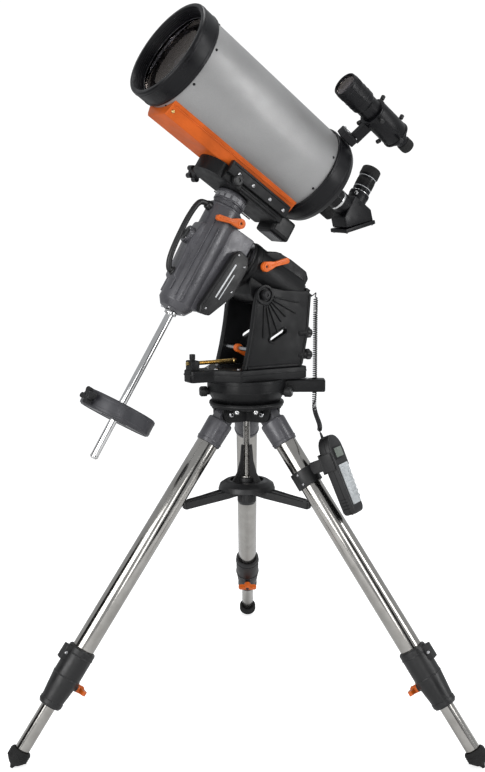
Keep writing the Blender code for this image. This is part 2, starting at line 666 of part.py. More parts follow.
def carry_handle(body):
    """A bowed grab handle on the pole side of the declination body."""
    route = [(0.0416, 0, 0.060), (0.054, 0, 0.0605), (0.070, 0, 0.050), (0.076, 0, 0.010)]
    route += [(0.074, 0, -0.050), (0.068, 0, -0.090), (0.058, 0, -0.1095), (0.0492, 0, -0.110)]
    place = DECLINATION @ turn("Z", math.radians(8))
    finish(pipe("handle", route, 0.0065, place, smooth=18), "carry_handle", "black_plastic", body)


def dec_shaft(body):
    """The declination shaft with its worm wheel, and the flange that the setting circle is cut on."""
    r = DEC_SHAFT_R
    flange = DEC_TOP + GAP
    profile = [(0, 0.1137), (0.034, 0.1137), (0.036, 0.1115), (0.036, 0.092), (0.0335, 0.090)]
    profile += [(0.0335, flange), (r, flange), (r, 0.020), (0.029, 0.020), (0.029, 0.008), (r, 0.008), (r, -0.100)]
    profile += [(0.0115, -0.112), (0.0115, -0.1875), (0, -0.1875)]
    finish(turned("shaft", profile, DECLINATION, 24), "dec_shaft", "grey_casting", body)


def counterweight_bar(body):
    profile = [(0, -0.1878), (BAR_R, -0.1878), (BAR_R, BAR_END + 0.004), (BAR_R - 0.001, BAR_END + 0.003)]
    profile += [(0.006, BAR_END), (0, BAR_END)]
    finish(turned("bar", profile, DECLINATION, 20), "counterweight_bar", "chrome", body)


def counterweight(body):
    """A turned disc that slides on the bar, with a boss on its edge for the lock knob."""
    low = WEIGHT_TOP - WEIGHT_THICK
    r = WEIGHT_R
    bore = BAR_R + 0.0005
    profile = [(bore, WEIGHT_TOP), (r - 0.0015, WEIGHT_TOP), (r, WEIGHT_TOP - 0.0015), (r, low + 0.0015)]
    profile += [(r - 0.0015, low), (bore, low)]
    disc = turned("disc", profile, DECLINATION, 40, closed=True)
    finish(disc, "counterweight", "weight_casting", body)


WEIGHT_LOCK = DECLINATION @ move(z=WEIGHT_TOP - WEIGHT_THICK / 2) @ turn("Z", math.radians(20)) @ TO_X


def counterweight_knob(body):
    """A four-lobed knob on the disc's edge."""
    seat = WEIGHT_R + GAP
    profile = [(0, 0.106), (0.009, 0.106), (0.011, 0.103), (0.011, 0.092), (0.007, 0.088)]
    profile += [(0.007, seat), (0, seat)]
    hub = turned("hub", profile, WEIGHT_LOCK, 16)
    for i in range(4):
        lobe = WEIGHT_LOCK @ turn("Z", math.radians(90 * i + 20)) @ move(x=0.013)
        fuse(hub, rod("lobe", 0.0062, 0.105, 0.093, lobe, 10))
    finish(hub, "counterweight_knob", "black_plastic", body)


# ---------------------------------------------------------------- saddle and optical tube

def saddle(body):
    """The dovetail clamp: a bed with a lip along each side and the clamp block at its rear."""
    bed_top = DOVETAIL_TOP - DOVETAIL_THICK - GAP
    bed_x = OPTICAL_AXIS_D + bed_top
    low = 0.114
    thick = bed_x - low
    bed = block("bed", (thick, 0.100, 0.190), OPTICS @ move(x=bed_top - thick / 2, z=-0.022), 0.003)
    for side in (-1, 1):
        beside = OPTICS @ move(x=bed_top - 0.002, y=side * 0.0525, z=-0.022)
        fuse(bed, block("lip", (0.030, 0.012, 0.190), beside, 0.002))
    nose = rod("nose", 0.043, bed_top, bed_top - thick, OPTICS @ move(z=0.072) @ TO_X, 24)
    box = block("box", (0.050, 0.062, 0.060), OPTICS @ move(x=bed_top - 0.026, z=-0.142), 0.006)
    boss = rod("boss", 0.011, 0.0585, 0.030, OPTICS @ move(x=-0.1475, z=0.071) @ TO_Y, 16)
    finish(fuse(bed, nose, box, boss), "saddle", "black_casting", body)


SADDLE_KNOB = OPTICS @ move(x=-0.1475, y=0.0588, z=0.071) @ TO_Y


def saddle_knob(body):
    """The lobed clamp knob on the far side of the saddle."""
    profile = [(0, 0.030), (0.012, 0.030), (0.014, 0.027), (0.014, 0.012), (0.006, 0.008)]
    profile += [(0.006, 0), (0, 0)]
    hub = turned("hub", profile, SADDLE_KNOB, 18)
    for i in range(5):
        lobe = SADDLE_KNOB @ turn("Z", math.radians(72 * i)) @ move(x=0.0145)
        fuse(hub, rod("lobe", 0.0062, 0.029, 0.013, lobe, 10))
    finish(hub, "saddle_knob", "black_plastic", body)


def dovetail_bar(body):
    """The orange plate under the tube, hollowed on top to the tube's radius."""
    low = DOVETAIL_TOP - DOVETAIL_THICK
    half = [(low, 0.036), (low + 0.008, 0.043), (low + 0.011, 0.044), (DOVETAIL_TOP + 0.014, 0.056)]
    outline = half + [(x, -y) for x, y in reversed(half)]
    front = 0.258
    rear = -0.128
    bar = prism("bar", outline, front - rear, OPTICS @ move(z=(front + rear) / 2), 0.0012)
    hollow = rod("hollow", TUBE_R + GAP, 0.30, -0.20, OPTICS, TUBE_STEPS)
    finish(cut(bar, hollow), "dovetail_bar", "orange_anodised", body)


def optical_tube(body):
    front = RING_BACK_Z + 0.012
    shell = tube("tube", TUBE_R, TUBE_R - TUBE_SHEET, front, CELL_FRONT_Z - 0.012, OPTICS, TUBE_STEPS)
    finish(shell, "optical_tube", "silver_tube", body)


def front_ring(body):
    """The ring that holds the corrector, with a deep lip in front of the glass."""
    seat = RING_BACK_Z + 0.012 + GAP
    outside = [(RING_R - 0.002, FRONT_Z), (RING_R, FRONT_Z - 0.003), (RING_R, RING_BACK_Z + 0.002)]
    outside += [(RING_R - 0.002, RING_BACK_Z), (TUBE_R + GAP, RING_BACK_Z), (TUBE_R + GAP, seat)]
    inside = [(0.0985, seat), (0.0985, seat + 0.004), (0.1010, seat + 0.008), (0.1045, FRONT_Z)]
    ring = turned("ring", outside + inside, OPTICS, TUBE_STEPS, closed=True)
    finish(ring, "front_ring", "black_anodised", body)


def corrector_lens(body):
    """A thick meniscus, hollow towards the sky, with the secondary spot on its inner face."""
    edge = RING_BACK_Z + 0.0115
    r = 0.0983
    front = [(r * i / 6, edge + 0.0075 - 0.012 * (1 - (i / 6) ** 2)) for i in range(7)]
    back = [(r * i / 6, edge - 0.006 - 0.011 * (1 - (i / 6) ** 2)) for i in range(6, -1, -1)]
    finish(turned("lens", front + back, OPTICS, TUBE_STEPS), "corrector_lens", "optic_glass", body)


def rear_cell(body):
    """The rear casting: a deep rim over the tube and a dished back with the central opening."""
    seat = CELL_FRONT_Z - 0.012 - GAP
    outside = [(TUBE_R + GAP, seat), (TUBE_R + GAP, CELL_FRONT_Z), (RING_R - 0.001, CELL_FRONT_Z)]
    outside += [(RING_R, CELL_FRONT_Z - 0.002), (RING_R, -0.176), (0.1080, -0.189), (0.096, -0.197)]
    outside += [(0.060, CELL_BACK_Z), (0.032, CELL_BACK_Z), (0.032, -0.236), (0.0255 + 0.0006, -0.236)]
    inside = [(0.0261, -0.196), (0.092, -0.186), (0.1045, -0.176), (0.1045, seat)]
    cell = turned("cell", outside + inside, OPTICS, TUBE_STEPS, closed=True)
    finish(cell, "rear_cell", "black_anodised", body)


def baffle_tube(body):
    """The long light baffle that the primary mirror slides on."""
    profile = [(0.0195, 0.080), (0.0195, -0.170), (0.0255, -0.172), (0.0255, -0.1985), (0.0235, -0.1985)]
    profile += [(0.0235, -0.174), (0.0175, -0.170), (0.0175, 0.080)]
    finish(turned("baffle", profile, OPTICS, 24, closed=True), "baffle_tube", "black_anodised", body)


def primary_mirror(body):
    """A concave disc on a carrier that runs along the baffle."""
    bore = 0.0200
    face = [(bore + (0.095 - bore) * i / 5, -0.132 + 0.010 * (i / 5) ** 2) for i in range(6)]
    profile = face + [(0.095, -0.145), (0.034, -0.147), (bore, -0.147)]
    finish(turned("mirror", profile, OPTICS, 32, closed=True), "primary_mirror", "mirror_coat", body)


FOCUSER = OPTICS @ turn("Z", math.radians(215)) @ move(x=0.072)


def focuser_knob(body):
    """The focus knob on the back of the rear cell; its top face clears the casting."""
    top = CELL_BACK_Z - 0.0005
    profile = [(0, top), (0.011, top), (0.0135, top - 0.004), (0.0135, top - 0.034), (0.011, top - 0.037)]
    profile += [(0, top - 0.037)]
    finish(turned("knob", profile, FOCUSER, 20), "focuser_knob", "rubber", body)


def finder_bracket(body):
    """The finder's foot on the rear cell, the stalk, and the ring that holds the finder."""
    foot_x = RING_R + 0.0005
    radial = OPTICS @ turn("Z", -FINDER_ANGLE)
    foot = block("foot", (0.020, 0.034, 0.042), radial @ move(x=foot_x + 0.0115, z=-0.155), 0.003)
    stalk = block("stalk", (0.062, 0.012, 0.028), radial @ move(x=foot_x + 0.046, z=-0.172), 0.002)
    barrel = tube("barrel", 0.0325, 0.0263, -0.152, -0.246, FINDER, 24)
    fuse(barrel, foot, stalk)
    hollow = rod("hollow", 0.0263, -0.14, -0.26, FINDER, 24)
    finish(cut(barrel, hollow), "finder_bracket", "black_anodised", body)


def finder_tube(body):
    """The straight-through finder: objective cell, tube, focuser and eyepiece in one turned body."""
    profile = [(0, -0.066), (0.0255, -0.062), (0.0255, -0.052), (0.0285, -0.052), (0.0295, -0.055)]
    profile += [(0.0295, -0.118), (0.0260, -0.124), (0.0260, -0.240), (0.0220, -0.258), (0.0180, -0.262)]
    profile += [(0.0150, -0.268), (0.0150, -0.292), (0.0130, -0.296), (0, -0.296)]
    finish(turned("finder", profile, FINDER, 24), "finder_tube", "black_anodised", body)


def star_diagonal(body):
    """The mirror diagonal: a nose in the rear cell, a body with a slanted back, and the eyepiece socket."""
    outline = [(0.028, 0.029), (0.028, -0.034), (0.010, -0.056), (-0.052, 0.008), (-0.034, 0.029)]
    shell = prism("body", outline, 0.054, DIAGONAL @ turn("X", math.pi / 2), 0.003)
    back = DIAGONAL @ turn("Y", math.radians(-45.9)) @ move(x=-0.0375, z=-0.0005)
    plate = block("plate", (0.010, 0.060, 0.098), back, 0.002)
    nose = rod("nose", 0.0255, 0.118, 0.020, DIAGONAL, 28)
    socket = rod("socket", 0.0245, 0.052, 0.020, DIAGONAL @ TO_X, 28)
    bore = rod("bore", EYEPIECE_BORE_R, 0.060, 0.022, DIAGONAL @ TO_X, 20)
    finish(cut(fuse(shell, plate, nose, socket), bore), "star_diagonal", "black_anodised", body)


def eyepiece(body):
    """The eyepiece standing on the diagonal's socket, with a rubber eyecup."""
    barrel = EYEPIECE_BORE_R - GAP
    profile = [(0, 0.118), (0.016, 0.118), (0.0215, 0.122), (0.0240, 0.119), (0.0240, 0.100)]
    profile += [(0.0225, 0.098), (0.0225, 0.060), (0.0205, 0.0525), (barrel, 0.0525), (barrel, 0.024)]
    profile += [(0, 0.024)]
    finish(turned("eyepiece", profile, DIAGONAL @ TO_X, 20), "eyepiece", "black_anodised", body)


# ---------------------------------------------------------------- hand control and cord

def handset_holder(body):
    """A split ring round the leg, an arm, and a cradle behind the hand control."""
    place = leg_frame("leg_2")
    ring = tube("ring", 0.031, UPPER_TUBE_R + GAP, -0.155, -0.195, place, LEG_STEPS)
    split = block("split", (0.03, 0.02, 0.1), place @ move(x=0.030, z=-0.175))
    wide, deep, _ = HANDSET_SIZE
    arm = block("arm", (0.026, 0.0425, 0.028), HANDSET @ move(y=0.0388, z=0.034), 0.002)
    back = block("back", (wide + 0.008, 0.004, 0.046), HANDSET @ move(y=deep / 2 + 0.0025, z=0.036), 0.001)
    fuse(ring, arm, back)
    for side in (-1, 1):
        beside = HANDSET @ move(x=side * (wide / 2 + 0.0023), y=0.002, z=0.036)
        fuse(ring, block("jaw", (0.0035, deep - 0.002, 0.040), beside, 0.001))
    bore = rod("bore", UPPER_TUBE_R + GAP, -0.10, -0.25, place, LEG_STEPS)
    finish(cut(ring, split, bore), "handset_holder", "black_plastic", body)


def handset_outline(wide, long, inset):
    """The face's outline: a round-shouldered top that narrows to a square foot."""
    top = arc(0, long / 2 - wide / 2 * 0.92, wide / 2 - inset, 0, 180, 10)
    foot = wide / 2 * 0.80 - inset
    low = -long / 2 + inset
    return top + [(-foot, low + 0.008), (-foot + 0.008, low), (foot - 0.008, low), (foot, low + 0.008)]


def handset(body):
    wide, deep, long = HANDSET_SIZE
    face_on = HANDSET @ turn("X", math.pi / 2)
    shell = prism("shell", handset_outline(wide, long, 0), deep, face_on, 0.005)
    well = prism("well", keypad_outline(0.0005), 0.006, face_on @ move(z=deep / 2))
    finish(cut(shell, well), "handset", "black_plastic", body)


def keypad_outline(grow):
    half = 0.021 + grow
    low = -0.070 - grow
    return [(half, 0.024 + grow), (-half, 0.024 + grow), (-half + 0.003, low), (half - 0.003, low)]


def keypad(body):
    """The rubber key mat, which stands just proud of the face."""
    _, deep, _ = HANDSET_SIZE
    face_on = HANDSET @ turn("X", math.pi / 2) @ move(z=deep / 2 + 0.0006)
    finish(prism("keys", keypad_outline(-0.0002), 0.0050, face_on, 0.0008), "keypad", "pale_keys", body)


def handset_cord(upper_body, lower_body):
    """The control cord: thin wire to the cheek, then a curled length to the hand control."""
    exit_point = POLAR @ Vector((0.018, -0.038, RA_REAR - 0.0085))
    lead = POLAR @ Vector((0.018, -0.040, RA_REAR - 0.020))
    corner = AZIMUTH @ Vector((-0.1445, 0.074, 1.014))
    hang = TRIPOD @ Vector((0.1615, 0.0115, 0.960))
    guide = TRIPOD @ Vector((0.1615, 0.0115, 0.794))
    first = [exit_point, lead, corner, hang, TRIPOD @ Vector((0.1615, 0.0115, 0.880)), guide]

    def thin_then_curled(along):
        thin = CORD_WIRE_R / CORD_CURL_R
        return thin if along < 0.32 else min(1.0, (along - 0.32) / 0.08 + thin)

    upper = pipe("upper", first, CORD_CURL_R, Matrix(), thin_then_curled, 2, 40)
    finish(upper, "cord_upper", "cord_jacket", upper_body)
    wide, _, long = HANDSET_SIZE
    entry = HANDSET @ Vector((-wide * 0.30, 0, long / 2 + 0.0002))
    above = HANDSET @ Vector((-wide * 0.30, 0, long / 2 + 0.018))
    second = [guide - Vector((0, 0, GAP)), TRIPOD @ Vector((0.1610, 0.008, 0.740))]
    second += [(guide + entry) / 2 - Vector((-0.002, 0.004, 0.030)), above, entry]
    lower = pipe("lower", second, CORD_CURL_R * 0.95, Matrix(), None, 2, 20)
    finish(lower, "cord_lower", "cord_jacket", lower_body)


# ---------------------------------------------------------------- assembly

def build_tripod():
    hub = rig("hub", TRIPOD)
    tripod_hub(hub)
    centre_rod(hub)
    for name in LEG_AZIMUTHS:
        leg = rig(f"{name}_fold", leg_frame(name))
        extension = rig(f"{name}_slide", leg_frame(name))
        lock = rig(f"{name}_lock", leg_frame(name) @ move(y=LOCK_KNOB_Y, z=LOCK_KNOB_Z) @ TO_Y)
        leg_sleeve(name, leg)
        leg_upper_tube(name, leg)
        leg_collar(name, leg)
        leg_lock_knob(name, lock)
        leg_lower_tube(name, extension)
        leg_foot(name, extension)
    spreader_tray(rig("spreader", TRIPOD))
    spreader_knob(rig("spreader_nut", TRIPOD))


def build_mount():
    head = rig("azimuth_head", AZIMUTH)
    azimuth_base(head)
    cheek("cheek_near", 1, head)
    cheek("cheek_far", -1, head)
    for name, azimuth in AZIMUTH_KNOBS.items():
        place = TRIPOD @ turn("Z", math.radians(azimuth)) @ move(z=0.7855) @ TO_X
        azimuth_knob(name, place, rig(f"{name}_axis", place))
    latitude_screw(rig("latitude_screw_axis", AZIMUTH @ move(z=0.857)))
    latitude_cross_bolt(head)
    latitude_handle(rig("latitude_handle_axis", AZIMUTH @ move(*LATITUDE_HANDLE)))
    ra_housing(rig("latitude_axis", AZIMUTH @ move(x=LATITUDE_AXIS_X, z=LATITUDE_AXIS_Z)))
    clutch_lever("ra_clutch_lever", RA_CLUTCH, rig("ra_clutch_axis", RA_CLUTCH))


def build_axes():
    ra = rig("ra_axis", POLAR)
    ra_shaft(ra)
    dec_housing(ra)
    dec_side_cover(ra)
    carry_handle(ra)
    clutch_lever("dec_clutch_lever", DEC_CLUTCH, rig("dec_clutch_axis", DEC_CLUTCH))
    dec = rig("dec_axis", DECLINATION)
    dec_shaft(dec)
    counterweight_bar(dec)
    counterweight(rig("weight_slide", DECLINATION))
    counterweight_knob(rig("weight_lock", WEIGHT_LOCK))
    saddle(dec)
    saddle_knob(rig("saddle_knob_axis", SADDLE_KNOB))
    build_optics(dec)


def build_optics(dec):
    dovetail_bar(dec)
    optical_tube(dec)
    front_ring(dec)
    corrector_lens(dec)
    rear_cell(dec)
    baffle_tube(dec)
    primary_mirror(rig("mirror_slide", OPTICS))
    focuser_knob(rig("focuser_axis", FOCUSER))
    finder_bracket(dec)
    finder_tube(dec)
    star_diagonal(rig("diagonal_axis", DIAGONAL))
    eyepiece(rig("eyepiece_slide", DIAGONAL))


def build_handset():
    leg = bpy.data.objects["leg_2_fold"]
    handset_holder(leg)
    handset(leg)
    keypad(rig("keypad_press", HANDSET))
    handset_cord(bpy.data.objects["azimuth_head"], bpy.data.objects["hub"])


make_materials()
build_tripod()
build_mount()
build_axes()
build_handset()
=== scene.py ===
"""The looks of a catadioptric telescope on an equatorial mount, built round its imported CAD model."""

import bisect
import json
import math

import bmesh
import bpy
from mathutils import Matrix, Vector

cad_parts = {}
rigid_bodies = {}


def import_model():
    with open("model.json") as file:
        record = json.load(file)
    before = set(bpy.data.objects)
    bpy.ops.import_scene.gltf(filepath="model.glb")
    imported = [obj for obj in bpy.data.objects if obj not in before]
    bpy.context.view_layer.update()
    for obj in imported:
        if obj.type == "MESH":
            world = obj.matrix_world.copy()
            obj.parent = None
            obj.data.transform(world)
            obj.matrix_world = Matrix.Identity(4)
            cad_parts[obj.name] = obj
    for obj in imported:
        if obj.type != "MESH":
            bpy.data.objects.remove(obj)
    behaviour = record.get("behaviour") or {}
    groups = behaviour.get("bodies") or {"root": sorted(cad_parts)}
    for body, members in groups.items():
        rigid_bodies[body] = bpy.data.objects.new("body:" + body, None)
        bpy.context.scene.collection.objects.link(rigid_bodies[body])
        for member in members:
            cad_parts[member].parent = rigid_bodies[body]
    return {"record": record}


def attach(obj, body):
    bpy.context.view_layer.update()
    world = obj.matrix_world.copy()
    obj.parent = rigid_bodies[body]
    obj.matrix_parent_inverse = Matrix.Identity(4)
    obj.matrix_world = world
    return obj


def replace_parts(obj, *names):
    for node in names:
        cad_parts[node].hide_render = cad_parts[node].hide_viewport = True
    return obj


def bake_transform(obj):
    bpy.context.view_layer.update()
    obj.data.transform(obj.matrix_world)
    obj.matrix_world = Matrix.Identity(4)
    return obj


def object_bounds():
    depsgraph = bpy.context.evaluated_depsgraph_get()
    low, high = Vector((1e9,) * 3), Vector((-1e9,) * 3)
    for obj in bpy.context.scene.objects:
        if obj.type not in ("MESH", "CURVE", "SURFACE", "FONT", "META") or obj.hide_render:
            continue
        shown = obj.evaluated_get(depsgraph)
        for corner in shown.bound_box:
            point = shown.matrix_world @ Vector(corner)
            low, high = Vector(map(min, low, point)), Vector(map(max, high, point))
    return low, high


frame_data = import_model()
CAD_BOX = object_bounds()
BODIES = frame_data["record"]["behaviour"]["bodies"]
NODE_BODY = {node: body for body, nodes in BODIES.items() for node in nodes}
FINE = 4

GAP = 0.0003

# Where the pillar axis stands, so that the whole object's box is centred on the origin
PILLAR_X = 0.0
PILLAR_Y = -0.1432

# Tripod
LEG_AZIMUTHS = {"leg_1": -150, "leg_2": -30, "leg_3": 90}
LEG_SPREAD = math.radians(36.2)
LEG_HINGE_R = 0.0556
LEG_HINGE_Z = 0.735
LEG_LENGTH = 0.9086
UPPER_TUBE_R = 0.0254
LOWER_TUBE_R = 0.0165
TUBE_WALL = 0.002
TONGUE_HALF = 0.0172
PIN_R = 0.004
COLLAR_TOP = -0.618
COLLAR_BOTTOM = -0.757
LOCK_KNOB_Y = 0.0365
LOCK_KNOB_Z = -0.700
FOOT_TOP = -0.866
ROD_R = 0.0075
ROD_BORE_R = 0.0086
TRAY_ARM_R = 0.169
LEG_STEPS = 20

# Mount
MOUNT_AZIMUTH = -150
LATITUDE = math.radians(31.7)
AZIMUTH_KNOBS = {"azimuth_knob_1": -168, "azimuth_knob_2": -19}
DRUM_R = 0.0925
DRUM_BOTTOM = 0.7625
DRUM_TOP = 0.815
PLATE_TOP = 0.842
CHEEK_Y = 0.063
CHEEK_THICK = 0.014
LATITUDE_HANDLE = (0.022, 0.0, 0.886)
LATITUDE_AXIS_X = -0.008
LATITUDE_AXIS_Z = 1.011
AXES_MEET_X = 0.0939
AXES_MEET_Z = 1.1364
TRUNNION_R = 0.012
RA_BODY_R = 0.053
RA_FRONT = -0.1003
RA_REAR = -0.262
RA_SHAFT_R = 0.020
DEC_BODY_R = 0.041
DEC_BOTTOM = -0.187
DEC_TOP = 0.078
DEC_SHAFT_R = 0.018

# Optical tube, measured along its axis from the declination axis
OPTICAL_AXIS_D = 0.275
TUBE_STEPS = 44
TUBE_TURN = math.radians(6.2)
TUBE_R = 0.1095
TUBE_SHEET = 0.003
RING_R = 0.1141
FRONT_Z = 0.311
RING_BACK_Z = 0.265
CELL_FRONT_Z = -0.131
CELL_BACK_Z = -0.203
DOVETAIL_TOP = -0.1035
DOVETAIL_THICK = 0.0245
FINDER_ANGLE = 35
FINDER_DISTANCE = 0.205
DIAGONAL_Z = -0.318
EYEPIECE_BORE_R = 0.0162

# Counterweight
BAR_R = 0.009
BAR_END = -0.555
WEIGHT_TOP = -0.424
WEIGHT_THICK = 0.035
WEIGHT_R = 0.084

# Hand control, in the frame of the leg that carries it
HANDSET_S = 0.213
HANDSET_V = 0.078
HANDSET_TILT = 13
HANDSET_SIZE = (0.066, 0.030, 0.182)

CORD_CURL_R = 0.006
WIRE_R = 0.0014


# ---------------------------------------------------------------- frames

def frame(origin, x_axis, z_axis):
    """The matrix of a frame with this origin, its z along z_axis and its x as near x_axis as it can be."""
    z = Vector(z_axis).normalized()
    y = z.cross(Vector(x_axis)).normalized()
    x = y.cross(z)
    return Matrix.Translation(origin) @ Matrix((x, y, z)).transposed().to_4x4()


def move(x=0.0, y=0.0, z=0.0):
    return Matrix.Translation((x, y, z))


def turn(axis, degrees):
    return Matrix.Rotation(math.radians(degrees), 4, axis)


TO_X = turn("Y", 90)
TO_Y = turn("X", -90)

TRIPOD = move(PILLAR_X, PILLAR_Y, 0)
AZIMUTH = TRIPOD @ turn("Z", MOUNT_AZIMUTH)
NORTH = AZIMUTH.to_3x3() @ Vector((1, 0, 0))
UP = Vector((0, 0, 1))
POLE = NORTH * math.cos(LATITUDE) + UP * math.sin(LATITUDE)
DEC_AXIS = UP * math.cos(LATITUDE) - NORTH * math.sin(LATITUDE)
AXES_MEET = AZIMUTH @ Vector((AXES_MEET_X, 0, AXES_MEET_Z))
POLAR = frame(AXES_MEET, DEC_AXIS, POLE)
DECLINATION = frame(AXES_MEET, POLE, DEC_AXIS)
TUBE_DIRECTION = Matrix.Rotation(TUBE_TURN, 3, DEC_AXIS) @ POLE
OPTICS = frame(AXES_MEET + DEC_AXIS * OPTICAL_AXIS_D, DEC_AXIS, TUBE_DIRECTION)
FINDER = OPTICS @ turn("Z", -FINDER_ANGLE) @ move(x=FINDER_DISTANCE)
DIAGONAL = OPTICS @ move(z=DIAGONAL_Z)


def leg_frame(name):
    """Origin on the leg's hinge pin, x along the pin, z up along the leg, y to the inside."""
    azimuth = math.radians(LEG_AZIMUTHS[name])
    out = Vector((math.cos(azimuth), math.sin(azimuth), 0))
    pin = Vector((-math.sin(azimuth), math.cos(azimuth), 0))
    up_leg = UP * math.cos(LEG_SPREAD) - out * math.sin(LEG_SPREAD)
    origin = TRIPOD @ (out * LEG_HINGE_R + UP * LEG_HINGE_Z)
    return frame(origin, pin, up_leg)


HANDSET = leg_frame("leg_2") @ move(y=-HANDSET_V, z=-HANDSET_S) @ turn("X", HANDSET_TILT)


HELPERS = bpy.data.collections.new("helpers")
bpy.context.scene.collection.children.link(HELPERS)
LOOKS = bpy.data.collections.new("looks")
bpy.context.scene.collection.children.link(LOOKS)


# ---------------------------------------------------------------- shapes

def settle(obj, place):
    for held in list(obj.users_collection):
        held.objects.unlink(obj)
    HELPERS.objects.link(obj)
    obj.matrix_world = place
    return obj


def softened(profile, radius, closed):
    """The profile with each sharp corner off the axis rounded by three points."""
    count = len(profile)
    out = []
    for i, (x, z) in enumerate(profile):
        ends = not closed and i in (0, count - 1)
        here = Vector((x, z))
        before = Vector(profile[i - 1])
        after = Vector(profile[(i + 1) % count])
        a = before - here
        b = after - here
        if ends or x < 1e-6 or a.length < 1e-6 or b.length < 1e-6 or math.degrees(a.angle(-b)) < 18:
            out.append((x, z))
            continue
        cut_back = min(radius, 0.35 * a.length, 0.35 * b.length)
        start = here + a.normalized() * cut_back
        end = here + b.normalized() * cut_back
        middle = (start + end) * 0.25 + here * 0.5
        out += [tuple(start), tuple(middle), tuple(end)]
    return out


def turned(profile, place, steps=28, closed=False, soft=0.0008):
    """A turned solid. The profile lists (radius, z) down the outer side from the top."""
    if soft:
        profile = softened(profile, soft, closed)
    points = [(radius, 0, z) for radius, z in profile]
    edges = [(i, i + 1) for i in range(len(points) - 1)]
    if closed:
        edges.append((len(points) - 1, 0))
    mesh = bpy.data.meshes.new("shape")
    mesh.from_pydata(points, edges, [])
    obj = settle(bpy.data.objects.new("shape", mesh), place)
    screw = obj.modifiers.new("turn", "SCREW")
    screw.steps = steps * FINE if steps > 8 else steps
    screw.render_steps = screw.steps
    screw.use_merge_vertices = True
    screw.merge_threshold = 0.000001
    screw.use_smooth_shade = True
    return obj


def rod(radius, top, bottom, place, steps=20):
    return turned([(0, top), (radius, top), (radius, bottom), (0, bottom)], place, steps, soft=0.0)


def tube(outer, inner, top, bottom, place, steps=28):
    profile = [(outer, top), (outer, bottom), (inner, bottom), (inner, top)]
    return turned(profile, place, steps, closed=True)


def rounded(obj, width):
    rounding = obj.modifiers.new("edges", "BEVEL")
    rounding.width = width
    rounding.segments = 4
    return rounding


def block(size, place, bevel=0.0):
    mesh = bpy.data.meshes.new("shape")
    cube = bmesh.new()
    bmesh.ops.create_cube(cube, size=1, matrix=Matrix.Diagonal((*size, 1)))
    cube.to_mesh(mesh)
    cube.free()
    obj = settle(bpy.data.objects.new("shape", mesh), place)
    if bevel:
        rounded(obj, bevel)
    return obj


def prism(outline, thick, place, bevel=0.0):
    """A flat outline in x and y, given the thickness along z, centred on z = 0."""
    mesh = bpy.data.meshes.new("shape")
    built = bmesh.new()
    low = [built.verts.new((x, y, -thick / 2)) for x, y in outline]
    high = [built.verts.new((x, y, thick / 2)) for x, y in outline]
    count = len(outline)
    built.faces.new(low)
    built.faces.new(high)
    for i in range(count):
        built.faces.new((low[i], low[(i + 1) % count], high[(i + 1) % count], high[i]))
    bmesh.ops.recalc_face_normals(built, faces=built.faces)
    built.to_mesh(mesh)
    built.free()
    obj = settle(bpy.data.objects.new("shape", mesh), place)
    if bevel:
        rounding = rounded(obj, bevel)
        rounding.limit_method = "ANGLE"
        rounding.angle_limit = math.radians(22)
    return obj


def swept(route, radius, sides):
    """The mesh of a round wire along a route."""
    curve = bpy.data.curves.new("route", "CURVE")
    curve.dimensions = "3D"
    curve.bevel_depth = radius
    curve.bevel_resolution = sides
    curve.use_fill_caps = True
    spline = curve.splines.new("POLY")
    spline.points.add(len(route) - 1)
    for i, point in enumerate(route):
        spline.points[i].co = (*point, 1)
    drawn = bpy.data.objects.new("route", curve)
    HELPERS.objects.link(drawn)
    mesh = evaluated_mesh(drawn)
    bpy.data.objects.remove(drawn, do_unlink=True)
    return mesh


def pipe(points, radius, place, smooth=0):
    """A round bar along the points."""
    mesh = swept(smoothed(points, smooth * 3) if smooth else points, radius, 8)
    weld(mesh)
    return settle(bpy.data.objects.new("shape", mesh), place)


def evaluated_mesh(obj):
    bpy.context.view_layer.update()
    graph = bpy.context.evaluated_depsgraph_get()
    return bpy.data.meshes.new_from_object(obj.evaluated_get(graph))


def weld(mesh, within=0.000001):
    built = bmesh.new()
    built.from_mesh(mesh)
    bmesh.ops.remove_doubles(built, verts=built.verts, dist=within)
    bmesh.ops.dissolve_degenerate(built, edges=built.edges, dist=within)
    bmesh.ops.recalc_face_normals(built, faces=built.faces)
    built.to_mesh(mesh)
    built.free()


def smoothed(points, count):
    """count + 1 points along the Catmull-Rom curve through the given ones."""
    ends = [Vector(p) for p in points]
    ends = [2 * ends[0] - ends[1], *ends, 2 * ends[-1] - ends[-2]]
    spans = len(ends) - 3
    route = []
    for i in range(count + 1):
        at = min(i * spans / count, spans - 1e-9)
        k = int(at)
        t = at - k
        a, b, c, d = ends[k : k + 4]
        route.append(
            b + ((c - a) * t + (2 * a - 5 * b + 4 * c - d) * t**2 + (3 * b - a - 3 * c + d) * t**3) / 2
        )
    return route


def clear_helpers():
    for obj in list(HELPERS.objects):
        bpy.data.objects.remove(obj, do_unlink=True)


def keep_in_box(mesh):
    """Pulls any point that stands past the CAD model's box back onto it, a millimetre at the most."""
    low, high = CAD_BOX
    for vertex in mesh.vertices:
        for k in range(3):
            vertex.co[k] = min(max(vertex.co[k], low[k]), high[k])


def shown(mesh, name, slot):
    """A shown object that has this mesh, in one material."""
    mesh.name = name
    mesh.materials.clear()
    mesh.materials.append(MATERIALS[slot])
    mesh.shade_smooth()
    made = bpy.data.objects.new(name, mesh)
    LOOKS.objects.link(made)
    return made


def piece(obj, name, slot, body, angle=32):
    """Makes a helper a shown piece on a body, with its modifiers applied and its place in its mesh."""
    mesh = evaluated_mesh(obj)
    mesh.transform(obj.matrix_world)
    weld(mesh)
    keep_in_box(mesh)
    made = shown(mesh, name, slot)
    mesh.set_sharp_from_angle(angle=math.radians(angle))
    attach(made, body)
    clear_helpers()
    return made


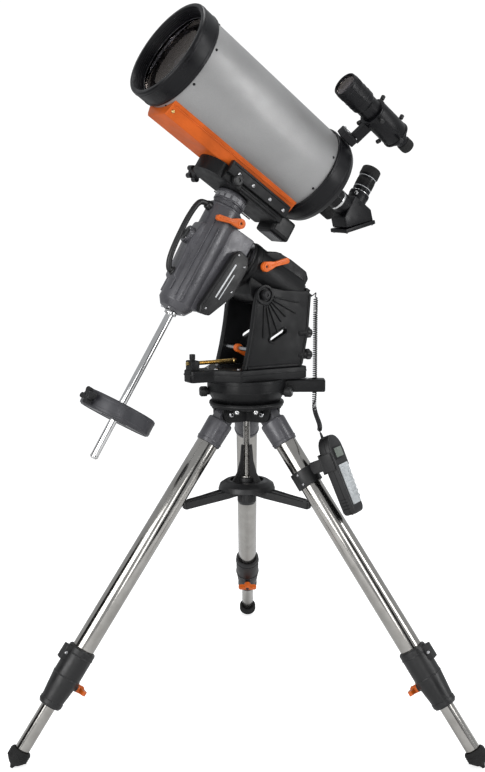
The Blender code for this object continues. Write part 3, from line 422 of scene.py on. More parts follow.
def finish(obj, node, slot):
    """The piece that stands for a CAD node, on that node's body."""
    made = piece(obj, f"{node}_look", slot, NODE_BODY[node])
    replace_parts(made, node)


def screw_head(radius, high, socket=True):
    """A button screw head with a hexagon socket, its seat on z = 0."""
    profile = [(0, high), (radius * 0.7, high), (radius, high * 0.35)]
    profile += [(radius, -high * 0.5), (0, -high * 0.5)]
    head = turned(profile, Matrix(), 10, soft=high * 0.3)
    if socket:
        cut(head, rod(radius * 0.45, high * 2, high * 0.2, Matrix(), 6))
    return head


def arc(x, y, radius, start, end, count):
    """Points on an arc, the angles in degrees."""
    angles = [math.radians(start + (end - start) * i / count) for i in range(count + 1)]
    return [(x + radius * math.cos(a), y + radius * math.sin(a)) for a in angles]


def boolean(obj, other, operation):
    joined = obj.modifiers.new(operation.lower(), "BOOLEAN")
    joined.operation = operation
    joined.solver = "EXACT"
    joined.object = other


def fuse(obj, *others):
    for other in others:
        boolean(obj, other, "UNION")
    return obj


def cut(obj, *others):
    for other in others:
        boolean(obj, other, "DIFFERENCE")
    return obj


# ---------------------------------------------------------------- materials

MATERIALS = {}


def node_material(name):
    made = bpy.data.materials.new(name)
    made.use_nodes = True
    tree = made.node_tree
    shader = tree.nodes["Principled BSDF"]
    MATERIALS[name] = made
    return tree, shader


def noise(tree, scale, detail):
    """A noise texture, its scale per metre."""
    where = tree.nodes.new("ShaderNodeTexCoord")
    texture = tree.nodes.new("ShaderNodeTexNoise")
    texture.inputs["Scale"].default_value = scale
    texture.inputs["Detail"].default_value = detail
    tree.links.new(where.outputs["Object"], texture.inputs["Vector"])
    return texture.outputs["Fac"]


def ramp(tree, factor, stops):
    """A blend between two colours, each at its own share."""
    made = tree.nodes.new("ShaderNodeValToRGB")
    for element, (at, colour) in zip(made.color_ramp.elements, stops):
        element.position = at
        element.color = (*colour, 1)
    tree.links.new(factor, made.inputs["Fac"])
    return made.outputs["Color"]


def spread(tree, factor, low, high, start=0.3, end=0.7):
    made = tree.nodes.new("ShaderNodeMapRange")
    made.inputs["From Min"].default_value = start
    made.inputs["From Max"].default_value = end
    made.inputs["To Min"].default_value = low
    made.inputs["To Max"].default_value = high
    tree.links.new(factor, made.inputs["Value"])
    return made.outputs["Result"]


def edge_mask(tree, radius):
    """1 near an edge and 0 away from it, from how far a rounded normal leaves the true one."""
    rounded = tree.nodes.new("ShaderNodeBevel")
    rounded.samples = 4
    rounded.inputs["Radius"].default_value = radius
    true = tree.nodes.new("ShaderNodeNewGeometry")
    dot = tree.nodes.new("ShaderNodeVectorMath")
    dot.operation = "DOT_PRODUCT"
    tree.links.new(rounded.outputs["Normal"], dot.inputs[0])
    tree.links.new(true.outputs["Normal"], dot.inputs[1])
    return spread(tree, dot.outputs["Value"], 1.0, 0.0, 0.86, 0.985)


def bump(tree, shader, height, strength, distance):
    made = tree.nodes.new("ShaderNodeBump")
    made.inputs["Strength"].default_value = strength
    made.inputs["Distance"].default_value = distance
    tree.links.new(height, made.inputs["Height"])
    tree.links.new(made.outputs["Normal"], shader.inputs["Normal"])


def tint(colour, factor):
    return tuple(min(1.0, c * factor) for c in colour)


def coated(name, colour, rough, metallic, grain, depth, worn=None, sheen=0.1, shine=0.5, coat=0.0):
    """A painted, moulded or anodised surface: grain, uneven sheen, faint colour drift and worn edges."""
    tree, shader = node_material(name)
    drift = noise(tree, 14.0, 5.0)
    fine = noise(tree, grain, 3.0)
    body = ramp(tree, drift, [(0.30, tint(colour, 0.82)), (0.70, tint(colour, 1.22))])
    if worn:
        mixed = tree.nodes.new("ShaderNodeMix")
        mixed.data_type = "RGBA"
        tree.links.new(edge_mask(tree, 0.0011), mixed.inputs["Factor"])
        tree.links.new(body, mixed.inputs["A"])
        tree.links.new(ramp(tree, fine, [(0.35, tint(worn, 0.7)), (0.65, worn)]), mixed.inputs["B"])
        body = mixed.outputs["Result"]
    tree.links.new(body, shader.inputs["Base Color"])
    blotch = noise(tree, 45.0, 6.0)
    tree.links.new(spread(tree, blotch, rough - sheen, rough + sheen), shader.inputs["Roughness"])
    shader.inputs["Metallic"].default_value = metallic
    shader.inputs["Specular IOR Level"].default_value = shine
    shader.inputs["Coat Weight"].default_value = coat
    shader.inputs["Coat Roughness"].default_value = 0.12
    bump(tree, shader, fine, 0.35, depth)


def bare_metal(name, dark, light, rough, grain):
    """Bare metal: a slow drift in tone, smudges, and hairline scratches that only the bump shows."""
    tree, shader = node_material(name)
    drift = noise(tree, grain, 4.0)
    smudge = noise(tree, 22.0, 6.0)
    hairs = noise(tree, 1400.0, 3.0)
    tree.links.new(ramp(tree, drift, [(0.3, dark), (0.7, light)]), shader.inputs["Base Color"])
    tree.links.new(spread(tree, smudge, rough * 0.7, rough * 1.5), shader.inputs["Roughness"])
    shader.inputs["Metallic"].default_value = 1.0
    bump(tree, shader, hairs, 0.05, 0.00001)


def make_materials():
    coated("black_casting", (0.0042, 0.0043, 0.0048), 0.42, 0.0, 1500.0, 0.00018, (0.018, 0.0185, 0.020),
           shine=0.22)
    coated("grey_casting", (0.060, 0.059, 0.066), 0.32, 0.15, 1400.0, 0.00016, (0.085, 0.085, 0.095),
           shine=0.6)
    coated("weight_casting", (0.034, 0.034, 0.039), 0.42, 0.2, 900.0, 0.00025, (0.085, 0.085, 0.09))
    coated("black_plastic", (0.0075, 0.0075, 0.0080), 0.42, 0.0, 2600.0, 0.00010, (0.022, 0.022, 0.024),
           shine=0.42)
    coated("black_anodised", (0.0045, 0.0045, 0.0055), 0.34, 0.10, 2200.0, 0.00005, (0.022, 0.022, 0.026),
           shine=0.24)
    coated("rubber", (0.0070, 0.0070, 0.0070), 0.70, 0.0, 1800.0, 0.00020, (0.020, 0.020, 0.020), shine=0.3)
    coated("orange_anodised", (0.52, 0.096, 0.012), 0.40, 0.25, 900.0, 0.00003, (0.62, 0.18, 0.06), 0.07,
           shine=0.22)
    coated("orange_paint", (0.56, 0.105, 0.012), 0.40, 0.0, 1300.0, 0.00012, (0.66, 0.22, 0.06), 0.08,
           0.25, 0.1)
    coated("pale_keys", (0.42, 0.44, 0.45), 0.48, 0.0, 2400.0, 0.00008)
    coated("cord_jacket", (0.0080, 0.0080, 0.0090), 0.36, 0.0, 3000.0, 0.00006, shine=0.4)
    coated("white_stripe", (0.50, 0.51, 0.52), 0.40, 0.0, 2600.0, 0.00004)
    coated("circle_band", (0.22, 0.22, 0.23), 0.36, 0.4, 1800.0, 0.00004)
    coated("matt_black", (0.0050, 0.0050, 0.0055), 0.85, 0.0, 2200.0, 0.00020, shine=0.15)
    coated("screen", (0.105, 0.125, 0.105), 0.16, 0.0, 2600.0, 0.00001, None, 0.04, coat=0.6)
    bare_metal("stainless", (0.37, 0.357, 0.336), (0.45, 0.437, 0.415), 0.13, 35.0)
    bare_metal("chrome", (0.58, 0.58, 0.58), (0.68, 0.68, 0.68), 0.07, 35.0)
    bare_metal("bearing_steel", (0.34, 0.34, 0.35), (0.50, 0.50, 0.51), 0.26, 120.0)
    bare_metal("brass", (0.40, 0.28, 0.10), (0.58, 0.42, 0.18), 0.24, 120.0)
    silver_paint()
    lens_glass()
    mirror_glass()


def silver_paint():
    """Metallic paint: fine flakes that each catch the light differently, under a thin clear coat."""
    tree, shader = node_material("silver_tube")
    where = tree.nodes.new("ShaderNodeTexCoord")
    flakes = tree.nodes.new("ShaderNodeTexVoronoi")
    flakes.inputs["Scale"].default_value = 2600.0
    tree.links.new(where.outputs["Object"], flakes.inputs["Vector"])
    drift = noise(tree, 9.0, 5.0)
    body = ramp(tree, drift, [(0.30, (0.262, 0.251, 0.247)), (0.70, (0.302, 0.291, 0.287))])
    sparkle = tree.nodes.new("ShaderNodeMix")
    sparkle.data_type = "RGBA"
    sparkle.blend_type = "OVERLAY"
    sparkle.inputs["Factor"].default_value = 0.18
    tree.links.new(body, sparkle.inputs["A"])
    tree.links.new(flakes.outputs["Color"], sparkle.inputs["B"])
    grey = tree.nodes.new("ShaderNodeHueSaturation")
    grey.inputs["Saturation"].default_value = 0.15
    tree.links.new(sparkle.outputs["Result"], grey.inputs["Color"])
    tree.links.new(grey.outputs["Color"], shader.inputs["Base Color"])
    tree.links.new(spread(tree, noise(tree, 40.0, 6.0), 0.46, 0.54), shader.inputs["Roughness"])
    shader.inputs["Metallic"].default_value = 0.55
    shader.inputs["Coat Weight"].default_value = 0.10
    shader.inputs["Coat Roughness"].default_value = 0.22
    bump(tree, shader, flakes.outputs["Distance"], 0.12, 0.00002)


def lens_glass():
    """Coated glass: clear, with a quarter-wave film that dims its reflections."""
    tree, shader = node_material("optic_glass")
    shader.inputs["Base Color"].default_value = (0.93, 0.90, 0.95, 1)
    shader.inputs["Transmission Weight"].default_value = 1.0
    shader.inputs["IOR"].default_value = 1.52
    shader.inputs["Thin Film Thickness"].default_value = 105.0
    shader.inputs["Thin Film IOR"].default_value = 1.38
    tree.links.new(spread(tree, noise(tree, 30.0, 6.0), 0.0, 0.012), shader.inputs["Roughness"])


def mirror_glass():
    tree, shader = node_material("mirror_coat")
    tone = ramp(tree, noise(tree, 20.0, 5.0), [(0.3, (0.13, 0.12, 0.14)), (0.7, (0.17, 0.15, 0.18))])
    tree.links.new(tone, shader.inputs["Base Color"])
    tree.links.new(spread(tree, noise(tree, 60.0, 6.0), 0.015, 0.06), shader.inputs["Roughness"])
    shader.inputs["Metallic"].default_value = 1.0


# ---------------------------------------------------------------- tripod

def tripod_hub():
    """The top plate, with a pair of lugs and a pin for each leg."""
    plate = [(0, 0.762), (0.086, 0.762), (0.088, 0.760), (0.086, 0.750), (0.070, 0.7455), (0, 0.7455)]
    hub = turned(plate, TRIPOD, 36)
    inner = TONGUE_HALF + GAP
    for name in LEG_AZIMUTHS:
        cut(hub, rod(0.0192, inner, -inner, leg_frame(name) @ TO_X, 20))
    thick = 0.009
    eye = arc(LEG_HINGE_R, LEG_HINGE_Z, 0.0195, 0, -90, 4)
    lug = [(0.001, 0.751), (0.001, 0.7155), *reversed(eye), (LEG_HINGE_R + 0.0195, 0.751)]
    for name, azimuth in LEG_AZIMUTHS.items():
        upright = TRIPOD @ turn("Z", azimuth) @ turn("X", 90)
        for side in (-1, 1):
            place = upright @ move(z=side * (inner + thick / 2))
            fuse(hub, prism(lug, thick, place))
        pin = leg_frame(name) @ TO_X
        fuse(hub, rod(PIN_R, inner + thick + 0.004, -inner - thick - 0.004, pin, 12))
    core = rod(0.022, 0.750, 0.7157, TRIPOD, 12)
    finish(fuse(hub, core), "tripod_hub", "black_casting")


def centre_rod():
    finish(rod(ROD_R, 0.7154, 0.5165, TRIPOD, 16), "centre_rod", "stainless")


def leg_sleeve(name):
    """The casting round the top of the upper tube, with the tongue that turns on the pin."""
    place = leg_frame(name)
    inner = UPPER_TUBE_R + GAP
    shell = [(0, -0.0222), (0.0285, -0.0222), (0.0305, -0.026), (0.0290, -0.081), (0.0275, -0.083)]
    shell += [(inner, -0.083), (inner, -0.030), (0, -0.030)]
    sleeve = turned(shell, place, LEG_STEPS)
    side = [(0.0185, -0.027), *arc(0, 0, 0.0185, 0, 180, 6), (-0.0185, -0.027)]
    tongue = prism(side, 2 * TONGUE_HALF, place @ turn("Z", 90) @ turn("X", 90))
    eye = rod(PIN_R + 0.0006, 0.03, -0.03, place @ TO_X, 12)
    finish(cut(fuse(sleeve, tongue), eye), f"{name}_sleeve", "grey_casting")


def leg_upper_tube(name):
    bore = UPPER_TUBE_R - TUBE_WALL
    shell = tube(UPPER_TUBE_R, bore, -0.0303, -0.664, leg_frame(name), LEG_STEPS)
    finish(shell, f"{name}_upper_tube", "stainless")


def leg_collar(name):
    """The clamp casting at the foot of the upper tube, with its lug and the lock knob's boss."""
    place = leg_frame(name)
    wide = UPPER_TUBE_R + GAP
    narrow = LOWER_TUBE_R + GAP
    outside = [(0.0300, COLLAR_TOP), (0.0320, -0.621), (0.0320, -0.690), (0.0262, -0.742)]
    outside += [(0.0250, COLLAR_BOTTOM), (narrow, COLLAR_BOTTOM)]
    inside = [(narrow, -0.6643), (wide, -0.6643), (wide, COLLAR_TOP)]
    collar = turned(outside + inside, place, LEG_STEPS, closed=True)
    lug = block((0.020, 0.016, 0.034), place @ move(y=-0.035, z=-0.640), 0.002)
    boss = rod(0.009, LOCK_KNOB_Y - GAP, 0.0225, place @ move(z=LOCK_KNOB_Z) @ TO_Y, 16)
    finish(fuse(collar, lug, boss), f"{name}_collar", "black_plastic")


def leg_lock_knob(name):
    """A winged knob on the inner side of the collar."""
    place = leg_frame(name) @ move(y=LOCK_KNOB_Y, z=LOCK_KNOB_Z) @ TO_Y
    hub = turned([(0, 0.018), (0.007, 0.018), (0.009, 0.015), (0.009, 0), (0, 0)], place, 16)
    half = 0.026
    wing = [*arc(half - 0.006, 0.012, 0.006, -90, 90, 4), *arc(0.006 - half, 0.012, 0.006, 90, 270, 4)]
    bar = prism(wing, 0.010, place @ turn("X", 90))
    finish(fuse(hub, bar), f"{name}_lock_knob", "orange_paint")


def leg_lower_tube(name):
    """The sliding tube, with the bush at its top that guides it inside the upper tube."""
    bush = UPPER_TUBE_R - TUBE_WALL - GAP
    bore = LOWER_TUBE_R - TUBE_WALL
    profile = [(bush, -0.360), (bush, -0.385), (LOWER_TUBE_R, -0.385), (LOWER_TUBE_R, -0.880)]
    profile += [(bore, -0.880), (bore, -0.360)]
    shell = turned(profile, leg_frame(name), LEG_STEPS, closed=True)
    finish(shell, f"{name}_lower_tube", "stainless")


def leg_foot(name):
    """A cap over the lower tube, rounded off to a blunt tip that meets the ground."""
    bore = LOWER_TUBE_R + GAP
    profile = [(0, -0.8803), (bore, -0.8803), (bore, FOOT_TOP), (0.0215, FOOT_TOP), (0.0232, -0.869)]
    profile += [(0.0232, -0.884), (0.0195, -0.8905), (0.0115, -0.8985), (0.0065, -0.9015)]
    profile += [(0.0030, -LEG_LENGTH), (0, -LEG_LENGTH)]
    finish(turned(profile, leg_frame(name), LEG_STEPS), f"{name}_foot", "rubber")


def spreader_tray():
    """A ring and three arms on a central boss, with a fin on each arm against the rod."""
    boss = tube(0.020, ROD_BORE_R, 0.576, 0.538, TRIPOD, 18)
    dome = [(0.040, 0.570), (0.052, 0.568), (0.064, 0.560), (0.068, 0.548), (0.062, 0.548)]
    dome += [(0.052, 0.556), (0.040, 0.558)]
    tray = fuse(boss, turned(dome, TRIPOD, 24, closed=True))
    arm = [(0.014, 0.016), (0.060, 0.019), (0.120, 0.014), (TRAY_ARM_R - 0.003, 0.011), (TRAY_ARM_R, 0.008)]
    outline = arm + [(x, -y) for x, y in reversed(arm)]
    fin = [(0.0092, 0.655), (0.0092, 0.556), (0.050, 0.556), (0.038, 0.570), (0.026, 0.588)]
    fin += [(0.017, 0.617), (0.0135, 0.655)]
    slope = math.degrees(math.atan2(0.021, TRAY_ARM_R))
    for name, azimuth in LEG_AZIMUTHS.items():
        out = TRIPOD @ turn("Z", azimuth)
        fuse(tray, prism(outline, 0.016, out @ move(z=0.549) @ turn("Y", slope)))
        fuse(tray, prism(fin, 0.005, out @ turn("X", 90)))
    bore = rod(ROD_BORE_R, 0.70, 0.50, TRIPOD, 18)
    finish(cut(tray, bore), "spreader_tray", "black_plastic")


def spreader_knob():
    """A ribbed hand nut under the tray, its bore blind from above."""
    profile = [(0, 0.5377), (0.021, 0.5377), (0.0225, 0.534), (0.0225, 0.518), (0.018, 0.510), (0, 0.510)]
    knob = turned(profile, TRIPOD, 20)
    for i in range(10):
        notch = rod(0.0022, 0.540, 0.500, TRIPOD @ turn("Z", 36 * i) @ move(x=0.0235), 8)
        cut(knob, notch)
    bore = rod(ROD_BORE_R, 0.545, 0.5155, TRIPOD, 18)
    finish(cut(knob, bore), "spreader_knob", "black_plastic")


# ---------------------------------------------------------------- azimuth head

def azimuth_base():
    """The drum and the bed plate, with the front arm and the side bracket that guides the cord."""
    drum = [(0, DRUM_TOP), (DRUM_R, DRUM_TOP), (DRUM_R, 0.787), (0.079, DRUM_BOTTOM), (0, DRUM_BOTTOM)]
    base = turned(drum, AZIMUTH, 36)
    half = [(0.155, 0.016), (0.150, 0.022), (0.100, 0.026), (0.070, 0.062), (0.058, 0.076), (-0.115, 0.076)]
    half += [(-0.125, 0.066)]
    outline = half + [(x, -y) for x, y in reversed(half)]
    plate = prism(outline, 0.028, AZIMUTH @ move(z=PLATE_TOP - 0.014), 0.003)
    post = block((0.022, 0.030, 0.024), AZIMUTH @ move(x=0.141, z=0.852), 0.003)
    arm = block((0.114, 0.036, 0.030), TRIPOD @ move(x=0.128, y=0.006, z=0.796), 0.004)
    guide = rod(0.0085, 0.85, 0.74, TRIPOD @ move(x=0.1615, y=0.0115), 16)
    thumb = rod(0.006, 0.878, 0.860, AZIMUTH @ move(x=0.1415), 14)
    fuse(base, plate, post, arm, thumb)
    for azimuth in AZIMUTH_KNOBS.values():
        stub = TRIPOD @ turn("Z", azimuth) @ move(z=0.7855) @ TO_X
        fuse(base, rod(0.0085, 0.094, 0.070, stub, 12))
    brass_bore = rod(0.0047, 0.16, 0.10, AZIMUTH @ move(z=0.857) @ TO_X, 12)
    finish(cut(base, guide, brass_bore), "azimuth_base", "black_casting")


def cheek(name, side):
    """One side of the fork: a web with a boss for the latitude axis and a slot. The far one is cut back."""
    rim = [(0.046, PLATE_TOP + GAP), (0.034, 0.888), (0.024, 0.938), (0.017, 0.985)]
    rim += [*arc(LATITUDE_AXIS_X, LATITUDE_AXIS_Z, 0.019, 10, 95, 4)]
    rim += [(-0.060, 1.020), (-0.128, 1.016), (-0.134, 1.008)]
    rim += [(-0.126, 0.918)] if side > 0 else [(-0.104, 0.955), (-0.084, 0.918), (-0.086, 0.878)]
    rim += [(-0.110, PLATE_TOP + GAP)]
    upright = AZIMUTH @ turn("X", 90)
    web = prism(rim, CHEEK_THICK, upright @ move(z=-side * CHEEK_Y), 0.002)
    pivot = AZIMUTH @ move(x=LATITUDE_AXIS_X, z=LATITUDE_AXIS_Z) @ TO_Y
    bore = rod(TRUNNION_R + 0.0006, 0.1, -0.1, pivot, 20)
    slot_turn = math.degrees(math.atan2(0.023, -0.042))
    ends = 0.019
    slot = [*arc(ends, 0, 0.0055, -90, 90, 4), *arc(-ends, 0, 0.0055, 90, 270, 4)]
    opening = prism(slot, 0.4, upright @ move(x=-0.044, y=0.918) @ turn("Z", slot_turn))
    for z in (0.868, 0.919) if side > 0 else ():
        place = AZIMUTH @ move(y=side * CHEEK_Y, z=z) @ TO_X
        fuse(web, turned([(0, -0.100), (0.009, -0.100), (0.009, -0.138), (0, -0.138)], place, 14))
    finish(cut(web, bore, opening), name, "black_casting")


def azimuth_knob(name, place):
    profile = [(0, 0.112), (0.009, 0.112), (0.0115, 0.109), (0.0115, 0.0945), (0, 0.0945)]
    finish(turned(profile, place, 16), name, "black_plastic")


def latitude_screw():
    """The brass adjusting screw, which runs through the post on the front arm."""
    place = AZIMUTH @ move(z=0.857) @ TO_X
    profile = [(0, 0.1570), (0.0042, 0.1570), (0.0042, 0.037), (0.0062, 0.036), (0.0062, 0.030), (0, 0.030)]
    finish(turned(profile, place, 16), "latitude_screw", "brass")


def latitude_cross_bolt():
    """The bolt between the cheeks that carries the latitude lever."""
    x, _, z = LATITUDE_HANDLE
    half = CHEEK_Y - CHEEK_THICK / 2 - GAP
    bolt = rod(0.005, half, -half, AZIMUTH @ move(x=x, z=z) @ TO_Y, 16)
    finish(bolt, "latitude_cross_bolt", "bearing_steel")


def latitude_handle():
    """The orange locking lever on the cross bolt."""
    place = AZIMUTH @ move(*LATITUDE_HANDLE) @ turn("X", 90) @ turn("Z", 34)
    half = [(-0.060, 0.0055), (-0.054, 0.0075), (-0.030, 0.0062), (-0.008, 0.0078)]
    outline = half + arc(0, 0, 0.010, 128, -128, 8) + [(x, -y) for x, y in reversed(half)]
    lever = prism(outline, 0.013, place, 0.0015)
    eye = rod(0.0054, 0.02, -0.02, place, 16)
    finish(cut(lever, eye), "latitude_handle", "orange_paint")


# ---------------------------------------------------------------- polar (right ascension) axis

def ra_housing():
    """The hollow housing of the polar shaft, with trunnions that turn between the cheeks."""
    r = RA_BODY_R
    shell = [(0, RA_REAR + 0.008), (0.046, RA_REAR + 0.008), (0.046, RA_FRONT - 0.006)]
    shell += [(0.030, RA_FRONT - 0.006), (0.030, RA_FRONT), (r - 0.004, RA_FRONT)]
    shell += [(r, RA_FRONT - 0.004), (r, RA_REAR + 0.014), (r - 0.008, RA_REAR + 0.003)]
    shell += [(r - 0.018, RA_REAR), (0, RA_REAR)]
    housing = turned(shell, POLAR, 24)
    hump = [(-0.120, 0.030), (-0.128, 0.046), (-0.150, 0.058), (-0.190, 0.062), (-0.242, 0.060)]
    hump += [(-0.256, 0.048), (-0.256, 0.030)]
    side_on = POLAR @ turn("X", -90) @ turn("Z", 180)
    outline = [(-x, z) for z, x in hump]
    top = prism(outline, 0.074, side_on, 0.004)
    keel_outline = [(0.030, -0.112), (0.030, -0.240), (0.050, -0.232), (0.070, -0.170), (0.0735, -0.150)]
    keel_outline += [(0.066, -0.132), (0.046, -0.116)]
    keel = prism(keel_outline, 0.096, side_on, 0.003)
    hollow = rod(0.046, RA_FRONT - 0.006, RA_REAR + 0.008, POLAR, 24)
    fuse(housing, top, keel)
    cut(housing, hollow)
    trunnion = AZIMUTH @ move(x=LATITUDE_AXIS_X, z=LATITUDE_AXIS_Z) @ TO_Y
    for top_y, low_y in ((0.078, 0.040), (-0.040, -0.078)):
        fuse(housing, rod(TRUNNION_R, top_y, low_y, trunnion, 20))
    boss = rod(0.012, 0.0555, 0.045, POLAR @ move(x=0.005, z=-0.127) @ turn("X", 90), 16)
    fuse(housing, boss)
    port = block((0.016, 0.014, 0.012), POLAR @ move(x=0.018, y=-0.038, z=RA_REAR - 0.002), 0.0015)
    fuse(housing, port)
    finish(housing, "ra_housing", "black_casting")


def ra_shaft():
    """The polar shaft, with its worm wheel inside the housing and its flange under the declination body."""
    r = RA_SHAFT_R
    profile = [(0, RA_FRONT + 0.012), (0.036, RA_FRONT + 0.012), (0.036, RA_FRONT + 0.0060)]
    profile += [(0.050, RA_FRONT + 0.0060), (0.050, RA_FRONT + GAP), (r, RA_FRONT + GAP)]
    profile += [(r, -0.150), (0.036, -0.150), (0.036, -0.164), (r, -0.164)]
    profile += [(r, RA_REAR + 0.012), (0, RA_REAR + 0.012)]
    finish(turned(profile, POLAR, 24), "ra_shaft", "bearing_steel")


def clutch_lever(name, place):
    """An orange lever with a round eye, lying flat on its boss; its z axis is the clutch screw."""
    half = [(0.062, 0.0042), (0.057, 0.0068), (0.024, 0.0056), (0.013, 0.0090)]
    outline = half + arc(0, 0, 0.0118, 60, 300, 10) + [(x, -y) for x, y in reversed(half)]
    lever = prism(outline, 0.010, place @ move(z=0.0054), 0.0015)
    eye = rod(0.0032, 0.02, 0.004, place, 6)
    finish(cut(lever, eye), name, "orange_paint")


RA_CLUTCH = POLAR @ move(x=0.005, y=-0.0555, z=-0.127) @ turn("X", 90) @ turn("Z", -45)
DEC_CLUTCH = DECLINATION @ move(x=-0.026, y=0.0438, z=0.055) @ TO_Y @ turn("Z", 18)


# ---------------------------------------------------------------- declination axis

def dec_housing():
    """The hollow body of the declination shaft, with its neck to the polar shaft."""
    r = DEC_BODY_R
    shell = [(0.022, DEC_TOP), (r - 0.003, DEC_TOP), (r, DEC_TOP - 0.004), (r, DEC_BOTTOM + 0.020)]
    shell += [(r - 0.010, DEC_BOTTOM + 0.005), (r - 0.022, DEC_BOTTOM), (0.0125, DEC_BOTTOM)]
    shell += [(0.0125, DEC_BOTTOM + 0.012), (0.034, DEC_BOTTOM + 0.022), (0.034, DEC_TOP - 0.006)]
    shell += [(0.022, DEC_TOP - 0.006)]
    housing = turned(shell, DECLINATION, 24, closed=True)
    neck_outline = [(-0.030, 0.046), (-0.086, 0.046), (-0.086, -0.046), (-0.070, -0.120), (-0.050, -0.160)]
    neck_outline += [(-0.020, -0.168), (-0.020, 0.046)]
    side_on = DECLINATION @ turn("X", 90)
    neck = prism(neck_outline, 0.070, side_on, 0.004)
    nose_outline = [(0.020, 0.030), (0.044, 0.018), (0.050, -0.030), (0.046, -0.120), (0.020, -0.140)]
    nose = prism(nose_outline, 0.046, side_on, 0.004)
    hollow = rod(0.034, DEC_TOP - 0.006, DEC_BOTTOM + 0.022, DECLINATION, 24)
    lever_boss = rod(0.0125, -0.0003, -0.030, DEC_CLUTCH, 16)
    fuse(housing, neck, nose, lever_boss)
    cut(housing, hollow)
    cap = rod(0.019, 0.058, 0.040, DECLINATION @ move(z=-0.020) @ TO_X, 20)
    finish(fuse(housing, cap), "dec_housing", "grey_casting")


def dec_side_cover():
    """The motor cover on the near side, a long panel that leans with the body."""
    outline = [(-0.082, 0.000), (-0.093, -0.020), (-0.093, -0.092), (-0.062, -0.160), (-0.036, -0.166)]
    outline += [(-0.030, -0.150), (-0.046, -0.010), (-0.056, 0.004)]
    place = DECLINATION @ turn("X", 90) @ move(z=-0.0460)
    finish(prism(outline, 0.0190, place, 0.004), "dec_side_cover", "black_plastic")


def carry_handle():
    """A bowed grab handle on the pole side of the declination body."""
    route = [(0.0416, 0, 0.060), (0.054, 0, 0.0605), (0.070, 0, 0.050), (0.076, 0, 0.010)]
    route += [(0.074, 0, -0.050), (0.068, 0, -0.090), (0.058, 0, -0.1095), (0.0492, 0, -0.110)]
    place = DECLINATION @ turn("Z", 8)
    finish(pipe(route, 0.0065, place, smooth=18), "carry_handle", "black_plastic")


def dec_shaft():
    """The declination shaft with its worm wheel, and the flange that the setting circle is cut on."""
    r = DEC_SHAFT_R
    flange = DEC_TOP + GAP
    profile = [(0, 0.1137), (0.034, 0.1137), (0.036, 0.1115), (0.036, 0.092), (0.0335, 0.090)]
    profile += [(0.0335, flange), (r, flange), (r, 0.020), (0.029, 0.020), (0.029, 0.008), (r, 0.008)]
    profile += [(r, -0.100), (0.0115, -0.112), (0.0115, -0.1875), (0, -0.1875)]
    finish(turned(profile, DECLINATION, 24), "dec_shaft", "grey_casting")


def counterweight_bar():
    profile = [(0, -0.1878), (BAR_R, -0.1878), (BAR_R, BAR_END + 0.004), (BAR_R - 0.001, BAR_END + 0.003)]
    profile += [(0.006, BAR_END), (0, BAR_END)]
    finish(turned(profile, DECLINATION, 20), "counterweight_bar", "chrome")


def counterweight():
    """A turned disc that slides on the bar, with a boss on its edge for the lock knob."""
    low = WEIGHT_TOP - WEIGHT_THICK
    r = WEIGHT_R
    bore = BAR_R + 0.0005
    profile = [(bore, WEIGHT_TOP), (r - 0.0015, WEIGHT_TOP), (r, WEIGHT_TOP - 0.0015), (r, low + 0.0015)]
    profile += [(r - 0.0015, low), (bore, low)]
    disc = turned(profile, DECLINATION, 40, closed=True)
    finish(disc, "counterweight", "weight_casting")


WEIGHT_LOCK = DECLINATION @ move(z=WEIGHT_TOP - WEIGHT_THICK / 2) @ turn("Z", 20) @ TO_X


def counterweight_knob():
    """A four-lobed knob on the disc's edge."""
    seat = WEIGHT_R + GAP
    profile = [(0, 0.106), (0.009, 0.106), (0.011, 0.103), (0.011, 0.092), (0.007, 0.088)]
    profile += [(0.007, seat), (0, seat)]
    hub = turned(profile, WEIGHT_LOCK, 16)
    for i in range(4):
        lobe = WEIGHT_LOCK @ turn("Z", 90 * i + 20) @ move(x=0.013)
        fuse(hub, rod(0.0062, 0.105, 0.093, lobe, 10))
    finish(hub, "counterweight_knob", "black_plastic")


# ---------------------------------------------------------------- saddle and optical tube

def saddle():
    """The dovetail clamp: a bed with a lip along each side and the clamp block at its rear."""
    bed_top = DOVETAIL_TOP - DOVETAIL_THICK - GAP
    bed_x = OPTICAL_AXIS_D + bed_top
    low = 0.114
    thick = bed_x - low
    bed = block((thick, 0.100, 0.190), OPTICS @ move(x=bed_top - thick / 2, z=-0.022), 0.003)
    for side in (-1, 1):
        beside = OPTICS @ move(x=bed_top - 0.002, y=side * 0.0525, z=-0.022)
        fuse(bed, block((0.030, 0.012, 0.190), beside, 0.002))
    nose = rod(0.043, bed_top, bed_top - thick, OPTICS @ move(z=0.072) @ TO_X, 24)
    box = block((0.050, 0.062, 0.060), OPTICS @ move(x=bed_top - 0.026, z=-0.142), 0.006)
    boss = rod(0.011, 0.0585, 0.030, OPTICS @ move(x=-0.1475, z=0.071) @ TO_Y, 16)
    finish(fuse(bed, nose, box, boss), "saddle", "black_casting")


SADDLE_KNOB = OPTICS @ move(x=-0.1475, y=0.0588, z=0.071) @ TO_Y


def saddle_knob():
    """The lobed clamp knob on the far side of the saddle."""
    profile = [(0, 0.030), (0.012, 0.030), (0.014, 0.027), (0.014, 0.012), (0.006, 0.008)]
    profile += [(0.006, 0), (0, 0)]
    hub = turned(profile, SADDLE_KNOB, 18)
    for i in range(5):
        lobe = SADDLE_KNOB @ turn("Z", 72 * i) @ move(x=0.0145)
        fuse(hub, rod(0.0062, 0.029, 0.013, lobe, 10))
    finish(hub, "saddle_knob", "black_plastic")


